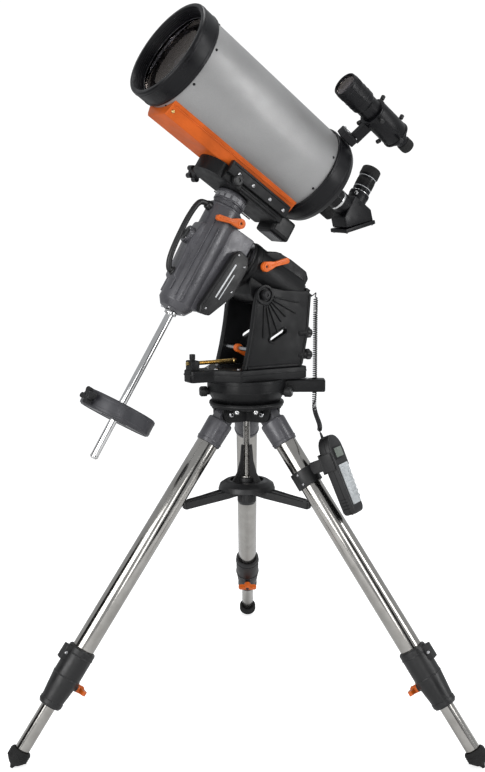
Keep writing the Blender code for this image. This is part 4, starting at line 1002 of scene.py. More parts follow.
def dovetail_bar():
    """The orange plate under the tube, hollowed on top to the tube's radius."""
    low = DOVETAIL_TOP - DOVETAIL_THICK
    half = [(low, 0.036), (low + 0.008, 0.043), (low + 0.011, 0.044), (DOVETAIL_TOP + 0.014, 0.056)]
    outline = half + [(x, -y) for x, y in reversed(half)]
    front = 0.258
    rear = -0.128
    bar = prism(outline, front - rear, OPTICS @ move(z=(front + rear) / 2), 0.0012)
    hollow = rod(TUBE_R + GAP, 0.30, -0.20, OPTICS, TUBE_STEPS)
    finish(cut(bar, hollow), "dovetail_bar", "orange_anodised")


def optical_tube():
    front = RING_BACK_Z + 0.012
    shell = tube(TUBE_R, TUBE_R - TUBE_SHEET, front, CELL_FRONT_Z - 0.012, OPTICS, TUBE_STEPS)
    finish(shell, "optical_tube", "silver_tube")


def front_ring():
    """The ring that holds the corrector, with a deep lip in front of the glass."""
    seat = RING_BACK_Z + 0.012 + GAP
    outside = [(RING_R - 0.002, FRONT_Z), (RING_R, FRONT_Z - 0.003), (RING_R, RING_BACK_Z + 0.002)]
    outside += [(RING_R - 0.002, RING_BACK_Z), (TUBE_R + GAP, RING_BACK_Z), (TUBE_R + GAP, seat)]
    inside = [(0.0985, seat), (0.0985, seat + 0.004), (0.1010, seat + 0.008), (0.1045, FRONT_Z)]
    ring = turned(outside + inside, OPTICS, TUBE_STEPS, closed=True)
    finish(ring, "front_ring", "black_anodised")


def corrector_lens():
    """A thick meniscus, hollow towards the sky, with the secondary spot on its inner face."""
    edge = RING_BACK_Z + 0.0115
    r = 0.0983
    front = [(r * i / 6, edge + 0.0075 - 0.012 * (1 - (i / 6) ** 2)) for i in range(7)]
    back = [(r * i / 6, edge - 0.006 - 0.011 * (1 - (i / 6) ** 2)) for i in range(6, -1, -1)]
    finish(turned(front + back, OPTICS, TUBE_STEPS), "corrector_lens", "optic_glass")


def rear_cell():
    """The rear casting: a deep rim over the tube and a dished back with the central opening."""
    seat = CELL_FRONT_Z - 0.012 - GAP
    outside = [(TUBE_R + GAP, seat), (TUBE_R + GAP, CELL_FRONT_Z), (RING_R - 0.001, CELL_FRONT_Z)]
    outside += [(RING_R, CELL_FRONT_Z - 0.002), (RING_R, -0.176), (0.1080, -0.189), (0.096, -0.197)]
    outside += [(0.060, CELL_BACK_Z), (0.032, CELL_BACK_Z), (0.032, -0.236), (0.0255 + 0.0006, -0.236)]
    inside = [(0.0261, -0.196), (0.092, -0.186), (0.1045, -0.176), (0.1045, seat)]
    cell = turned(outside + inside, OPTICS, TUBE_STEPS, closed=True)
    finish(cell, "rear_cell", "black_anodised")


def baffle_tube():
    """The long light baffle that the primary mirror slides on."""
    profile = [(0.0195, 0.080), (0.0195, -0.170), (0.0255, -0.172), (0.0255, -0.1985), (0.0235, -0.1985)]
    profile += [(0.0235, -0.174), (0.0175, -0.170), (0.0175, 0.080)]
    finish(turned(profile, OPTICS, 24, closed=True), "baffle_tube", "black_anodised")


def primary_mirror():
    """A concave disc on a carrier that runs along the baffle."""
    bore = 0.0200
    face = [(bore + (0.095 - bore) * i / 5, -0.132 + 0.010 * (i / 5) ** 2) for i in range(6)]
    profile = face + [(0.095, -0.145), (0.034, -0.147), (bore, -0.147)]
    finish(turned(profile, OPTICS, 32, closed=True), "primary_mirror", "mirror_coat")


FOCUSER = OPTICS @ turn("Z", 215) @ move(x=0.072)


def focuser_knob():
    """The focus knob on the back of the rear cell; its top face clears the casting."""
    top = CELL_BACK_Z - 0.0005
    profile = [(0, top), (0.011, top), (0.0135, top - 0.004), (0.0135, top - 0.034), (0.011, top - 0.037)]
    profile += [(0, top - 0.037)]
    finish(turned(profile, FOCUSER, 20), "focuser_knob", "rubber")


def finder_bracket():
    """The finder's foot on the rear cell, the stalk, and the ring that holds the finder."""
    foot_x = RING_R + 0.0005
    radial = OPTICS @ turn("Z", -FINDER_ANGLE)
    foot = block((0.020, 0.034, 0.042), radial @ move(x=foot_x + 0.0115, z=-0.155), 0.003)
    stalk = block((0.062, 0.012, 0.028), radial @ move(x=foot_x + 0.046, z=-0.172), 0.002)
    barrel = tube(0.0325, 0.0263, -0.152, -0.246, FINDER, 24)
    fuse(barrel, foot, stalk)
    hollow = rod(0.0263, -0.14, -0.26, FINDER, 24)
    finish(cut(barrel, hollow), "finder_bracket", "black_anodised")


def finder_tube():
    """The straight-through finder: objective cell, tube, focuser and eyepiece in one turned body."""
    profile = [(0, -0.066), (0.0255, -0.062), (0.0255, -0.052), (0.0285, -0.052), (0.0295, -0.055)]
    profile += [(0.0295, -0.118), (0.0260, -0.124), (0.0260, -0.240), (0.0220, -0.258), (0.0180, -0.262)]
    profile += [(0.0150, -0.268), (0.0150, -0.292), (0.0130, -0.296), (0, -0.296)]
    finish(turned(profile, FINDER, 24), "finder_tube", "black_anodised")


def star_diagonal():
    """The mirror diagonal: a nose in the rear cell, a body with a slanted back, and the eyepiece socket."""
    outline = [(0.028, 0.029), (0.028, -0.034), (0.010, -0.056), (-0.052, 0.008), (-0.034, 0.029)]
    shell = prism(outline, 0.054, DIAGONAL @ turn("X", 90), 0.003)
    back = DIAGONAL @ turn("Y", -45.9) @ move(x=-0.0375, z=-0.0005)
    plate = block((0.010, 0.060, 0.098), back, 0.002)
    nose = rod(0.0255, 0.118, 0.020, DIAGONAL, 28)
    socket = rod(0.0245, 0.052, 0.020, DIAGONAL @ TO_X, 28)
    bore = rod(EYEPIECE_BORE_R, 0.060, 0.022, DIAGONAL @ TO_X, 20)
    finish(cut(fuse(shell, plate, nose, socket), bore), "star_diagonal", "black_anodised")


def eyepiece():
    """The eyepiece standing on the diagonal's socket, with a rubber eyecup."""
    barrel = EYEPIECE_BORE_R - GAP
    profile = [(0, 0.118), (0.016, 0.118), (0.0215, 0.122), (0.0240, 0.119), (0.0240, 0.100)]
    profile += [(0.0225, 0.098), (0.0225, 0.060), (0.0205, 0.0525), (barrel, 0.0525), (barrel, 0.024)]
    profile += [(0, 0.024)]
    finish(turned(profile, DIAGONAL @ TO_X, 20), "eyepiece", "black_anodised")


# ---------------------------------------------------------------- hand control and cord

def handset_holder():
    """A split ring round the leg, an arm, and a cradle behind the hand control."""
    place = leg_frame("leg_2")
    ring = tube(0.031, UPPER_TUBE_R + GAP, -0.155, -0.195, place, LEG_STEPS)
    split = block((0.03, 0.02, 0.1), place @ move(x=0.030, z=-0.175))
    wide, deep, _ = HANDSET_SIZE
    arm = block((0.026, 0.0425, 0.028), HANDSET @ move(y=0.0388, z=0.034), 0.002)
    back = block((wide + 0.008, 0.004, 0.046), HANDSET @ move(y=deep / 2 + 0.0025, z=0.036), 0.001)
    fuse(ring, arm, back)
    for side in (-1, 1):
        beside = HANDSET @ move(x=side * (wide / 2 + 0.0023), y=0.002, z=0.036)
        fuse(ring, block((0.0035, deep - 0.002, 0.040), beside, 0.001))
    bore = rod(UPPER_TUBE_R + GAP, -0.10, -0.25, place, LEG_STEPS)
    finish(cut(ring, split, bore), "handset_holder", "black_plastic")


def handset_outline(wide, long, inset):
    """The face's outline: a round-shouldered top that narrows to a square foot."""
    top = arc(0, long / 2 - wide / 2 * 0.92, wide / 2 - inset, 0, 180, 10)
    foot = wide / 2 * 0.80 - inset
    low = -long / 2 + inset
    return top + [(-foot, low + 0.008), (-foot + 0.008, low), (foot - 0.008, low), (foot, low + 0.008)]


def handset():
    wide, deep, long = HANDSET_SIZE
    face_on = HANDSET @ turn("X", 90)
    shell = prism(handset_outline(wide, long, 0), deep, face_on, 0.005)
    well = prism(keypad_outline(0.0005), 0.006, face_on @ move(z=deep / 2))
    finish(cut(shell, well), "handset", "black_plastic")


def keypad_outline(grow):
    half = 0.021 + grow
    low = -0.070 - grow
    return [(half, 0.024 + grow), (-half, 0.024 + grow), (-half + 0.003, low), (half - 0.003, low)]


def keypad():
    """The rubber key mat, which stands just proud of the face."""
    _, deep, _ = HANDSET_SIZE
    face_on = HANDSET @ turn("X", 90) @ move(z=deep / 2 + 0.0006)
    finish(prism(keypad_outline(-0.0002), 0.0050, face_on, 0.0008), "keypad", "pale_keys")


# ---------------------------------------------------------------- fittings

class Kit:
    """Small pieces of one material on one body, laid out in one frame."""

    def __init__(self, place, body, slot):
        self.place = place
        self.body = body
        self.slot = slot

    def at(self, place):
        return Kit(self.place @ place, self.body, self.slot)

    def of(self, slot, body=None):
        return Kit(self.place, body or self.body, slot)

    def keep(self, obj, name, angle=32):
        piece(obj, name, self.slot, self.body, angle)

    def stamp(self, name, source, places):
        """One piece made of copies of a helper, one at each place."""
        base = evaluated_mesh(source)
        weld(base)
        joined = bmesh.new()
        for place in places:
            copy = base.copy()
            copy.transform(self.place @ place)
            joined.from_mesh(copy)
            bpy.data.meshes.remove(copy)
        mesh = bpy.data.meshes.new(name)
        joined.to_mesh(mesh)
        joined.free()
        self.keep(settle(bpy.data.objects.new(name, mesh), Matrix()), name)

    def solid(self, name, profile, steps=28, soft=0.0008, closed=False, angle=32):
        self.keep(turned(profile, self.place, steps, closed, soft), name, angle)

    def ring(self, name, outer, inner, top, bottom, steps=24, soft=0.0004):
        self.solid(name, [(outer, top), (outer, bottom), (inner, bottom), (inner, top)], steps, soft, True)

    def slab(self, name, outline, thick, bevel):
        self.keep(prism(outline, thick, self.place, bevel), name)

    def bar(self, name, size, bevel):
        self.keep(block(size, self.place, bevel), name)

    def bolts(self, name, places, radius, high, socket=True):
        """Button screw heads, one at each place, standing on its z = 0."""
        self.stamp(name, screw_head(radius, high, socket), places)

    def ribs(self, name, count, radius, size, at=0.0):
        """Bars of a size round the z axis, at a radius."""
        self.stamp(name, block(size, Matrix(), min(size) * 0.3), around(count, radius, at))

    def knurl(self, name, radius, top, bottom, count=40):
        """A band of fine straight ridges round the z axis."""
        wide = 2 * math.pi * radius / count * 0.55
        self.ribs(name, count, radius, (0.0012, wide, abs(top - bottom)), (top + bottom) / 2)

    def lobed(self, name, radius, lobes, thick):
        """A hand knob with rounded lobes and a domed middle, its back on z = 0."""
        outline = []
        for i in range(lobes * 16):
            angle = 2 * math.pi * i / (lobes * 16)
            r = radius * (0.86 + 0.14 * math.cos(lobes * angle))
            outline.append((r * math.cos(angle), r * math.sin(angle)))
        knob = prism(outline, thick, self.place @ move(z=thick / 2), thick * 0.22)
        profile = [(0, thick * 1.22), (radius * 0.34, thick * 1.16), (radius * 0.42, thick), (0, thick)]
        self.keep(fuse(knob, turned(profile, self.place, 12)), name)


def around(count, radius, z=0.0, start=0.0, facing=Matrix()):
    """Places evenly round the z axis, the first of them start degrees on."""
    return [turn("Z", 360 / count * i + start) @ move(x=radius, z=z) @ facing for i in range(count)]


def grid(xs, ys, zs, facing=Matrix()):
    return [move(x, y, z) @ facing for x in xs for y in ys for z in zs]


def thread(root, crest, core, top, bottom, half, pitch):
    """The profile of a screw thread from the top down, closed along the core."""
    profile = []
    z = top
    while z > bottom:
        profile += [(root, z), (crest, z - half), (root, z - 2 * half)]
        z -= pitch
    return [*profile, (core, profile[-1][1]), (core, top)]


def tripod_fittings():
    hub = Kit(TRIPOD, "hub", "black_casting")
    places = [turn("Z", face - 90) @ move(x=0.0795, y=side * 0.0215, z=0.7455) @ TO_X
              for face in (0, 120, 240) for side in (-1, 1)]
    pad = turned([(0, 0.006), (0.0078, 0.006), (0.009, 0.004), (0.009, -0.006), (0, -0.006)], Matrix(), 14)
    hub.stamp("hub_bolt_pads", pad, [place @ move(z=-0.006) for place in places])
    hub.of("chrome").bolts("hub_bolts", places, 0.0058, 0.0036)
    hub.of("black_plastic").ring("hub_seam", 0.0884, 0.080, 0.7575, 0.7555, 36)
    for name in LEG_AZIMUTHS:
        leg_fittings(name)
    hub.of("stainless", "spreader").ring("rod_washer", 0.0165, 0.0088, 0.5795, 0.5765, 20)
    profile = thread(ROD_R + 0.0002, ROD_R + 0.0010, ROD_R - 0.001, 0.700, 0.5805, 0.0009, 0.0020)
    hub.of("stainless").solid("rod_thread", profile, 16, 0, True, 60)
    for name, azimuth in LEG_AZIMUTHS.items():
        slope = math.degrees(math.atan2(0.021, TRAY_ARM_R))
        web = hub.at(turn("Z", azimuth) @ move(z=0.549) @ turn("Y", slope))
        rails = [block((0.100, 0.0022, 0.0022), web.place @ move(x=0.105, y=y, z=0.0088), 0.0006)
                 for y in (0.0085, -0.0085)]
        web.of("black_plastic", "spreader").keep(fuse(*rails), f"{name}_tray_rails")
        tip = [(0, 0.0085), (0.0045, 0.0080), (0.0065, 0.0062), (0.0065, -0.0086), (0, -0.0086)]
        web.at(move(x=TRAY_ARM_R - 0.006)).of("rubber", "spreader").solid(f"{name}_tray_pad", tip, 14)


def leg_fittings(name):
    leg = Kit(leg_frame(name), name, "black_plastic")
    ends = [move(x=side * (TONGUE_HALF + GAP + 0.0092)) @ turn("Y", side * 90) for side in (-1, 1)]
    leg.of("bearing_steel", "hub").bolts(f"{name}_pivot_bolts", ends, 0.0070, 0.0045)
    band = [(0.0300, -0.076), (0.0306, -0.0745), (0.0300, -0.073), (0.0285, -0.073), (0.0285, -0.076)]
    leg.of("grey_casting").solid(f"{name}_sleeve_band", band, LEG_STEPS, 0, True)
    for k, z in enumerate((-0.632, -0.684)):
        profile = [(0.0326, z), (0.0332, z - 0.0015), (0.0326, z - 0.003), (0.0315, z - 0.003), (0.0315, z)]
        leg.solid(f"{name}_collar_band_{k}", profile, LEG_STEPS, 0, True)
    grip = [(0.0262, -0.7425), (0.0275, -0.7440), (0.0275, -0.7520), (0.0262, -0.7540), (0.0245, -0.7540)]
    leg.solid(f"{name}_collar_lip", [*grip, (0.0245, -0.7425)], LEG_STEPS, 0, True)
    screws = [move(side * 0.0102, -0.037, -0.640) @ turn("Y", side * 90) for side in (-1, 1)]
    leg.of("bearing_steel").bolts(f"{name}_clamp_screws", screws, 0.0040, 0.0024)
    knob = leg.at(move(y=LOCK_KNOB_Y, z=LOCK_KNOB_Z) @ TO_Y).of("black_plastic", f"{name}_lock")
    knob.bolts(f"{name}_lock_cap", [move(z=0.0180)], 0.0048, 0.0016)
    for k, z in enumerate((-0.870, -0.8745, -0.879, -0.8835)):
        profile = [(0.0232, z), (0.0239, z - 0.0009), (0.0239, z - 0.0021), (0.0232, z - 0.003)]
        profile += [(0.0215, z - 0.003), (0.0215, z)]
        leg.of("rubber", f"{name}_extension").solid(f"{name}_tread_{k}", profile, LEG_STEPS, 0, True)


def cheek_ribs(name, side):
    """The fan of ribs round the latitude pivot, the rim, and the slot's raised lip."""
    upright = AZIMUTH @ turn("X", 90) @ move(z=-side * (CHEEK_Y + CHEEK_THICK / 2 + 0.0008))
    near_reach = {-168: 0.094, -152: 0.094, -138: 0.076, -125: 0.076, -112: 0.098, -100: 0.098, -88: 0.098}
    far_reach = {**near_reach, -168: 0.070, -152: 0.070}
    fan = []
    for angle, outer in (near_reach if side > 0 else far_reach).items():
        out, a = (0.024 + outer) / 2, math.radians(angle)
        x, y = LATITUDE_AXIS_X + out * math.cos(a), LATITUDE_AXIS_Z + out * math.sin(a)
        spot = upright @ move(x=x, y=y) @ turn("Z", angle)
        fan.append(block((outer - 0.024, 0.0042, 0.0050), spot, 0.0012))
    pivot = upright @ move(x=LATITUDE_AXIS_X, y=LATITUDE_AXIS_Z)
    hoop = tube(0.0225, 0.0165, 0.0030, -0.0030, pivot, 20)
    rim = [(0.042, 0.845), (0.031, 0.888), (0.021, 0.938), (0.0145, 0.985)]
    rail = pipe([(x, y, 0.0006) for x, y in rim], 0.0030, upright, smooth=6)
    low = block((0.135, 0.0055, 0.0050), upright @ move(x=-0.030, y=0.8465), 0.0012)
    web = fuse(*fan, hoop, rail, low)
    if side > 0:
        back = [(-0.108, 0.848, 0.0006), (-0.1225, 0.918, 0.0006), (-0.130, 1.006, 0.0006)]
        fuse(web, pipe(back, 0.0030, upright))
    spot = upright @ move(x=-0.044, y=0.918) @ turn("Z", math.degrees(math.atan2(0.023, -0.042)))
    track, hole = [[*arc(0.019, 0, r, -90, 90, 10), *arc(-0.019, 0, r, 90, 270, 10)]
                   for r in (0.0092, 0.0058)]
    fuse(web, cut(prism(track, 0.0050, spot, 0.0010), prism(hole, 0.03, spot)))
    cut(web, prism(hole, 0.03, spot))
    piece(web, f"{name}_ribs", "black_casting", "azimuth_head")


def mount_fittings():
    cheek_ribs("cheek_near", 1)
    cheek_ribs("cheek_far", -1)
    head = Kit(AZIMUTH, "azimuth_head", "black_casting")
    steel = head.of("bearing_steel")
    trunnion = AZIMUTH @ move(x=LATITUDE_AXIS_X, z=LATITUDE_AXIS_Z) @ TO_Y
    for label, out in (("near", trunnion), ("far", trunnion @ turn("X", 180))):
        profile = [(0, 0.0815), (0.0085, 0.0815), (0.0108, 0.0800), (0.0108, 0.0775), (0, 0.0775)]
        cap = turned(profile, out, 18)
        cut(cap, rod(0.0048, 0.09, 0.0790, out, 6))
        piece(cap, f"trunnion_cap_{label}", "black_anodised", "ra_housing")
    for z in (0.868, 0.919):
        knob = head.at(move(-0.1225, CHEEK_Y, z) @ turn("Y", -90))
        knob.of("black_plastic").lobed(f"cheek_knob_{round(z * 1000)}", 0.0135, 5, 0.0125)
        pin = knob.of("bearing_steel")
        pin.bolts(f"cheek_knob_pin_{round(z * 1000)}", [move(z=0.0150)], 0.0035, 0.0012)
    spots = ((0.092, 0.020), (0.050, 0.052), (-0.104, 0.044))
    places = [move(x, side * y, PLATE_TOP) for x, y in spots for side in (1, -1)]
    steel.bolts("plate_screws", places, 0.0046, 0.0026)
    level = [(0, 0.003), (0.0085, 0.003), (0.0095, 0.002), (0.0095, -0.001), (0, -0.001)]
    head.at(move(x=0.068, z=PLATE_TOP)).of("black_anodised").solid("level_body", level, 20)
    half = [(0.1563, 0.0165), (0.1508, 0.0228), (0.1003, 0.0270), (0.0708, 0.0628), (0.0585, 0.0768)]
    half += [(-0.1155, 0.0768), (-0.1257, 0.0663)]
    outline = half + [(x, -y) for x, y in reversed(half)]
    head.at(move(z=PLATE_TOP - 0.0105)).slab("plate_step", outline, 0.0035, 0.0010)
    head.ring("drum_seam", DRUM_R + 0.0009, DRUM_R - 0.004, 0.8095, 0.8070, 36)
    head.ring("drum_groove", DRUM_R + 0.0009, DRUM_R - 0.004, 0.7905, 0.7885, 36)
    head.at(move(x=0.1415)).of("black_plastic").knurl("thumb_knurl", 0.0062, 0.8775, 0.8665, 20)
    arm = Kit(TRIPOD @ move(0.128, 0.006, 0.811), "azimuth_head", "bearing_steel")
    arm.bolts("arm_screws", [move(x=-0.012), move(x=0.014)], 0.0042, 0.0024)
    for name, azimuth in AZIMUTH_KNOBS.items():
        knob = Kit(TRIPOD @ turn("Z", azimuth) @ move(z=0.7855) @ TO_X, name, "black_plastic")
        knob.knurl(f"{name}_knurl", 0.0116, 0.1085, 0.0955, 26)
        knob.of("bearing_steel").bolts(f"{name}_pin", [move(z=0.1120)], 0.0040, 0.0008)
    profile = thread(0.0040, 0.0049, 0.0030, 0.1250, 0.0400, 0.0005, 0.00115)
    screw = head.at(move(z=0.857) @ TO_X).of("brass", "latitude_screw")
    screw.solid("latitude_thread", profile, 16, 0, True, 60)
    lever = head.of("orange_paint", "latitude_handle").at(move(*LATITUDE_HANDLE) @ turn("X", 90))
    lever = lever.at(turn("Z", 34))
    lever.at(move(x=-0.034)).bar("latitude_handle_spine", (0.040, 0.0040, 0.0150), 0.0012)


def polar_fittings():
    polar = Kit(POLAR, "ra_housing", "black_casting")
    plastic = polar.of("black_plastic")
    steel = polar.of("bearing_steel")
    axis = polar.of("black_casting", "ra_axis")
    inner = RA_BODY_R - 0.002
    polar.ring("polar_front_ring", RA_BODY_R + 0.0012, inner, RA_FRONT - 0.006, RA_FRONT - 0.013)
    polar.ring("polar_scale_seat", RA_BODY_R + 0.0008, inner, RA_FRONT - 0.0165, RA_FRONT - 0.0185)
    steel.bolts("polar_rear_screws", around(6, 0.041, RA_REAR + 0.0016, 15, turn("X", 180)), 0.0030, 0.0022)
    cover = [(0, 0.002), (0.024, 0.002), (0.024, -0.002), (0.022, -0.0035), (0, -0.0035)]
    plastic.solid("polar_scope_cap", [(radius, RA_REAR + z) for radius, z in cover], 22)
    plastic.ribs("polar_scope_ribs", 24, 0.0236, (0.0016, 0.0024, 0.0040), RA_REAR - 0.0012)
    hump = move(x=0.0615, z=-0.190)
    plastic.at(hump).bar("hump_panel", (0.0028, 0.050, 0.056), 0.0010)
    corners = grid([0.0014], (-0.020, 0.020), (-0.023, 0.023), TO_X)
    steel.at(hump).bolts("hump_screws", corners, 0.0024, 0.0014)
    axis.ring("polar_flange_skin", 0.0506, 0.0480, RA_FRONT + 0.0064, RA_FRONT + 0.0005)
    axis.ring("polar_neck_skin", 0.0366, 0.0340, RA_FRONT + 0.0122, RA_FRONT + 0.0060)
    axis.ribs("polar_shaft_knurl", 36, 0.0505, (0.0014, 0.0040, 0.0046), RA_FRONT + 0.0031)
    for place, label in ((RA_CLUTCH, "ra"), (DEC_CLUTCH, "dec")):
        lever = Kit(place, f"{label}_clutch", "orange_paint")
        lever.at(move(x=0.034, z=0.0110)).bar(f"{label}_lever_spine", (0.038, 0.0034, 0.0018), 0.0008)
        lever.ring(f"{label}_lever_collar", 0.0078, 0.0042, 0.0118, 0.0100, 16, 0.0008)
        screw = [(0, 0.0082), (0.0028, 0.0082), (0.0030, 0.0080), (0.0030, 0.0050), (0, 0.0050)]
        lever.of("black_anodised").solid(f"{label}_lever_screw", screw, 8, 0)


def declination_fittings():
    body = Kit(DECLINATION, "ra_axis", "grey_casting")
    plastic = body.of("black_plastic")
    steel = body.of("bearing_steel")
    spans = {28: (0.018, -0.150), 52: (0.040, -0.158), 76: (0.020, -0.165)}
    spans |= {angle: (0.020, -0.156) for angle in (-28, -52, -76)}
    ridges = [block((0.0060, 0.0042, top - low), DECLINATION @ turn("Z", angle)
                    @ move(x=DEC_BODY_R + 0.0006, z=(top + low) / 2), 0.0018)
              for angle, (top, low) in spans.items()]
    body.keep(fuse(*ridges), "declination_ridges")
    cap = body.at(move(z=-0.020) @ TO_X)
    cap.ribs("cap_ribs", 24, 0.0192, (0.0020, 0.0026, 0.0130), 0.0510)
    profile = [(0, 0.0602), (0.0125, 0.0602), (0.0140, 0.0588), (0.0140, 0.0570), (0, 0.0570)]
    dial = cut(turned(profile, cap.place, 20), rod(0.0070, 0.07, 0.0592, cap.place, 16))
    plastic.keep(dial, "cap_dial")
    cap.of("bearing_steel").bolts("cap_screws", around(4, 0.0160, 0.0580, 45), 0.0019, 0.0012, False)
    outer, inner = DEC_BODY_R + 0.0010, DEC_BODY_R - 0.004
    body.ring("declination_top_band", outer, inner, DEC_TOP - 0.0035, DEC_TOP - 0.0070, 28)
    low_screws = around(4, 0.0255, DEC_BOTTOM + 0.0023, 45, turn("X", 180))
    steel.bolts("declination_low_screws", low_screws, 0.0030, 0.0024)
    side_on = turn("X", 90)
    inset = [(-0.0790, -0.0060), (-0.0885, -0.0220), (-0.0885, -0.0900), (-0.0600, -0.1535)]
    inset += [(-0.0400, -0.1585), (-0.0355, -0.1480), (-0.0500, -0.0120), (-0.0580, -0.0015)]
    plastic.at(side_on @ move(z=-0.0557)).slab("cover_inset", inset, 0.0024, 0.0009)
    marks = body.at(side_on @ move(z=-0.0573)).of("white_stripe")
    wide = [(-0.0620, -0.030), (-0.0585, -0.030), (-0.0510, -0.118), (-0.0545, -0.118)]
    marks.slab("cover_stripe", wide, 0.0010, 0.0002)
    fine = [(-0.0690, -0.052), (-0.0670, -0.052), (-0.0610, -0.118), (-0.0630, -0.118)]
    marks.slab("cover_stripe_fine", fine, 0.0010, 0.0002)
    spots = ((-0.0820, -0.0240), (-0.0560, -0.0080), (-0.0820, -0.0880), (-0.0440, -0.1500))
    places = [side_on @ move(x, y, -0.0567) @ turn("X", 180) for x, y in spots]
    steel.bolts("cover_screws", places, 0.0026, 0.0016)
    foot = [(0, 0.0520), (0.0078, 0.0520), (0.0098, 0.0500), (0.0110, 0.0400), (0, 0.0400)]
    for z, label in ((0.0600, "top"), (-0.1098, "low")):
        plastic.at(turn("Z", 8) @ move(z=z) @ TO_X).solid(f"handle_foot_{label}", foot, 18)
    circle = body.of("grey_casting", "dec_axis")
    circle.ring("setting_circle_top", 0.0372, 0.0340, 0.1090, 0.1060, 28)
    circle.ring("setting_circle_low", 0.0372, 0.0340, 0.0925, 0.0895, 28)
    circle.of("circle_band").ribs("setting_circle_windows", 14, 0.0362, (0.0016, 0.0118, 0.0110), 0.0993)
    circle.of("white_stripe").ribs("setting_circle_marks", 84, 0.0364, (0.0010, 0.0005, 0.0040), 0.1028)
    circle.knurl("declination_knurl", 0.0336, 0.0885, 0.0800, 48)


def weight_fittings():
    low = WEIGHT_TOP - WEIGHT_THICK
    disc = Kit(DECLINATION, "counterweight", "weight_casting")
    for k, z in enumerate((WEIGHT_TOP - 0.0060, low + 0.0060)):
        disc.ring(f"weight_band_{k}", WEIGHT_R + 0.0006, WEIGHT_R - 0.003, z + 0.0012, z - 0.0012, 44)
    faces = ((WEIGHT_TOP + 0.0016, WEIGHT_TOP - 0.001), (low + 0.001, low - 0.0016))
    for k, (top, bottom) in enumerate(faces):
        disc.ring(f"weight_face_{k}", 0.030, 0.0105, top, bottom, 32)
        disc.ring(f"weight_rim_{k}", 0.0805, 0.0765, top, bottom, 44)
    lock = Kit(WEIGHT_LOCK, "counterweight", "weight_casting")
    boss = [(0, 0.0002), (0.0085, 0.0002), (0.0105, -0.002), (0.0105, -0.006), (0, -0.006)]
    lock.solid("weight_lock_boss", [(radius, WEIGHT_R + z) for radius, z in boss], 16)
    lock.of("black_plastic", "counterweight_lock").bolts("weight_lock_cap", [move(z=0.1058)], 0.0050, 0.0018)
    bar = disc.of("chrome", "dec_axis")
    bar.ring("bar_collar", 0.0142, 0.0092, -0.1880, -0.1945, 20)
    tip = [(0, 0.0085), (0.0095, 0.0085), (0.0095, 0.0040), (0.0082, 0.0028), (0.0070, 0.0010), (0, 0.0010)]
    bar.solid("bar_safety_cap", [(radius, BAR_END + z) for radius, z in tip], 18)


def saddle_fittings():
    low = DOVETAIL_TOP - DOVETAIL_THICK
    bed_top = low - GAP
    optics = Kit(OPTICS, "dec_axis", "black_casting")
    steel = optics.of("bearing_steel")
    box = optics.at(move(x=bed_top - 0.026, z=-0.142)).of("black_plastic")
    for side, label in ((-1, "near"), (1, "far")):
        out = turn("X", -side * 90)
        places = grid([bed_top - 0.006], [side * 0.0585], (-0.100, -0.055, 0.000, 0.045), out)
        steel.bolts(f"saddle_{label}_screws", places, 0.0045, 0.0030)
        rail = optics.at(move(bed_top + 0.0085, side * 0.0590, -0.022))
        rail.bar(f"saddle_{label}_rail", (0.0045, 0.0030, 0.176), 0.0010)
        rows = grid([bed_top - 0.0220 - 0.006 * k for k in range(3)], [side * 0.0507], [-0.040])
        fins = [block((0.0030, 0.0024, 0.120), OPTICS @ row, 0.0008) for row in rows]
        optics.keep(fuse(*fins), f"saddle_{label}_fins")
        box.at(move(y=side * 0.0316)).bar(f"saddle_box_side_{label}", (0.034, 0.0026, 0.044), 0.0009)
        lean = math.degrees(math.atan2(0.012, 0.0275))
        edge = optics.at(move(low + 0.0235, side * 0.0499, 0.065) @ turn("Z", -side * lean))
        edge.of("orange_anodised").bar(f"dovetail_{label}_bead", (0.0040, 0.0022, 0.376), 0.0009)
        places = grid([low + 0.0125], [side * 0.0448], (-0.118, 0.248), out)
        optics.of("brass").bolts(f"dovetail_{label}_screws", places, 0.0042, 0.0028)
    near = OPTICS @ move(bed_top - 0.018, -0.052, 0.040) @ turn("X", 90)
    boss = turned([(0, 0.0105), (0.0105, 0.0105), (0.0125, 0.0085), (0.0135, 0.000), (0, 0.000)], near, 20)
    box.keep(cut(boss, rod(0.0050, 0.02, 0.0080, near, 6)), "saddle_near_boss")
    box.at(move(z=-0.0305)).bar("saddle_box_lid", (0.040, 0.050, 0.0030), 0.0010)
    corners = grid((-0.015, 0.015), (-0.020, 0.020), [-0.0318], turn("X", 180))
    box.of("bearing_steel").bolts("saddle_box_screws", corners, 0.0026, 0.0016)
    box.at(move(x=-0.0256)).of("grey_casting").bar("saddle_box_panel", (0.0030, 0.044, 0.046), 0.0010)
    cap = Kit(SADDLE_KNOB, "saddle_clamp", "black_plastic")
    cap.bolts("saddle_knob_cap", [move(z=0.0298)], 0.0060, 0.0016)
    ends = grid([low + 0.0105], (-0.026, 0.0, 0.026), [-0.1279], turn("X", 180))
    optics.of("brass").bolts("dovetail_end_screws", ends, 0.0040, 0.0024)


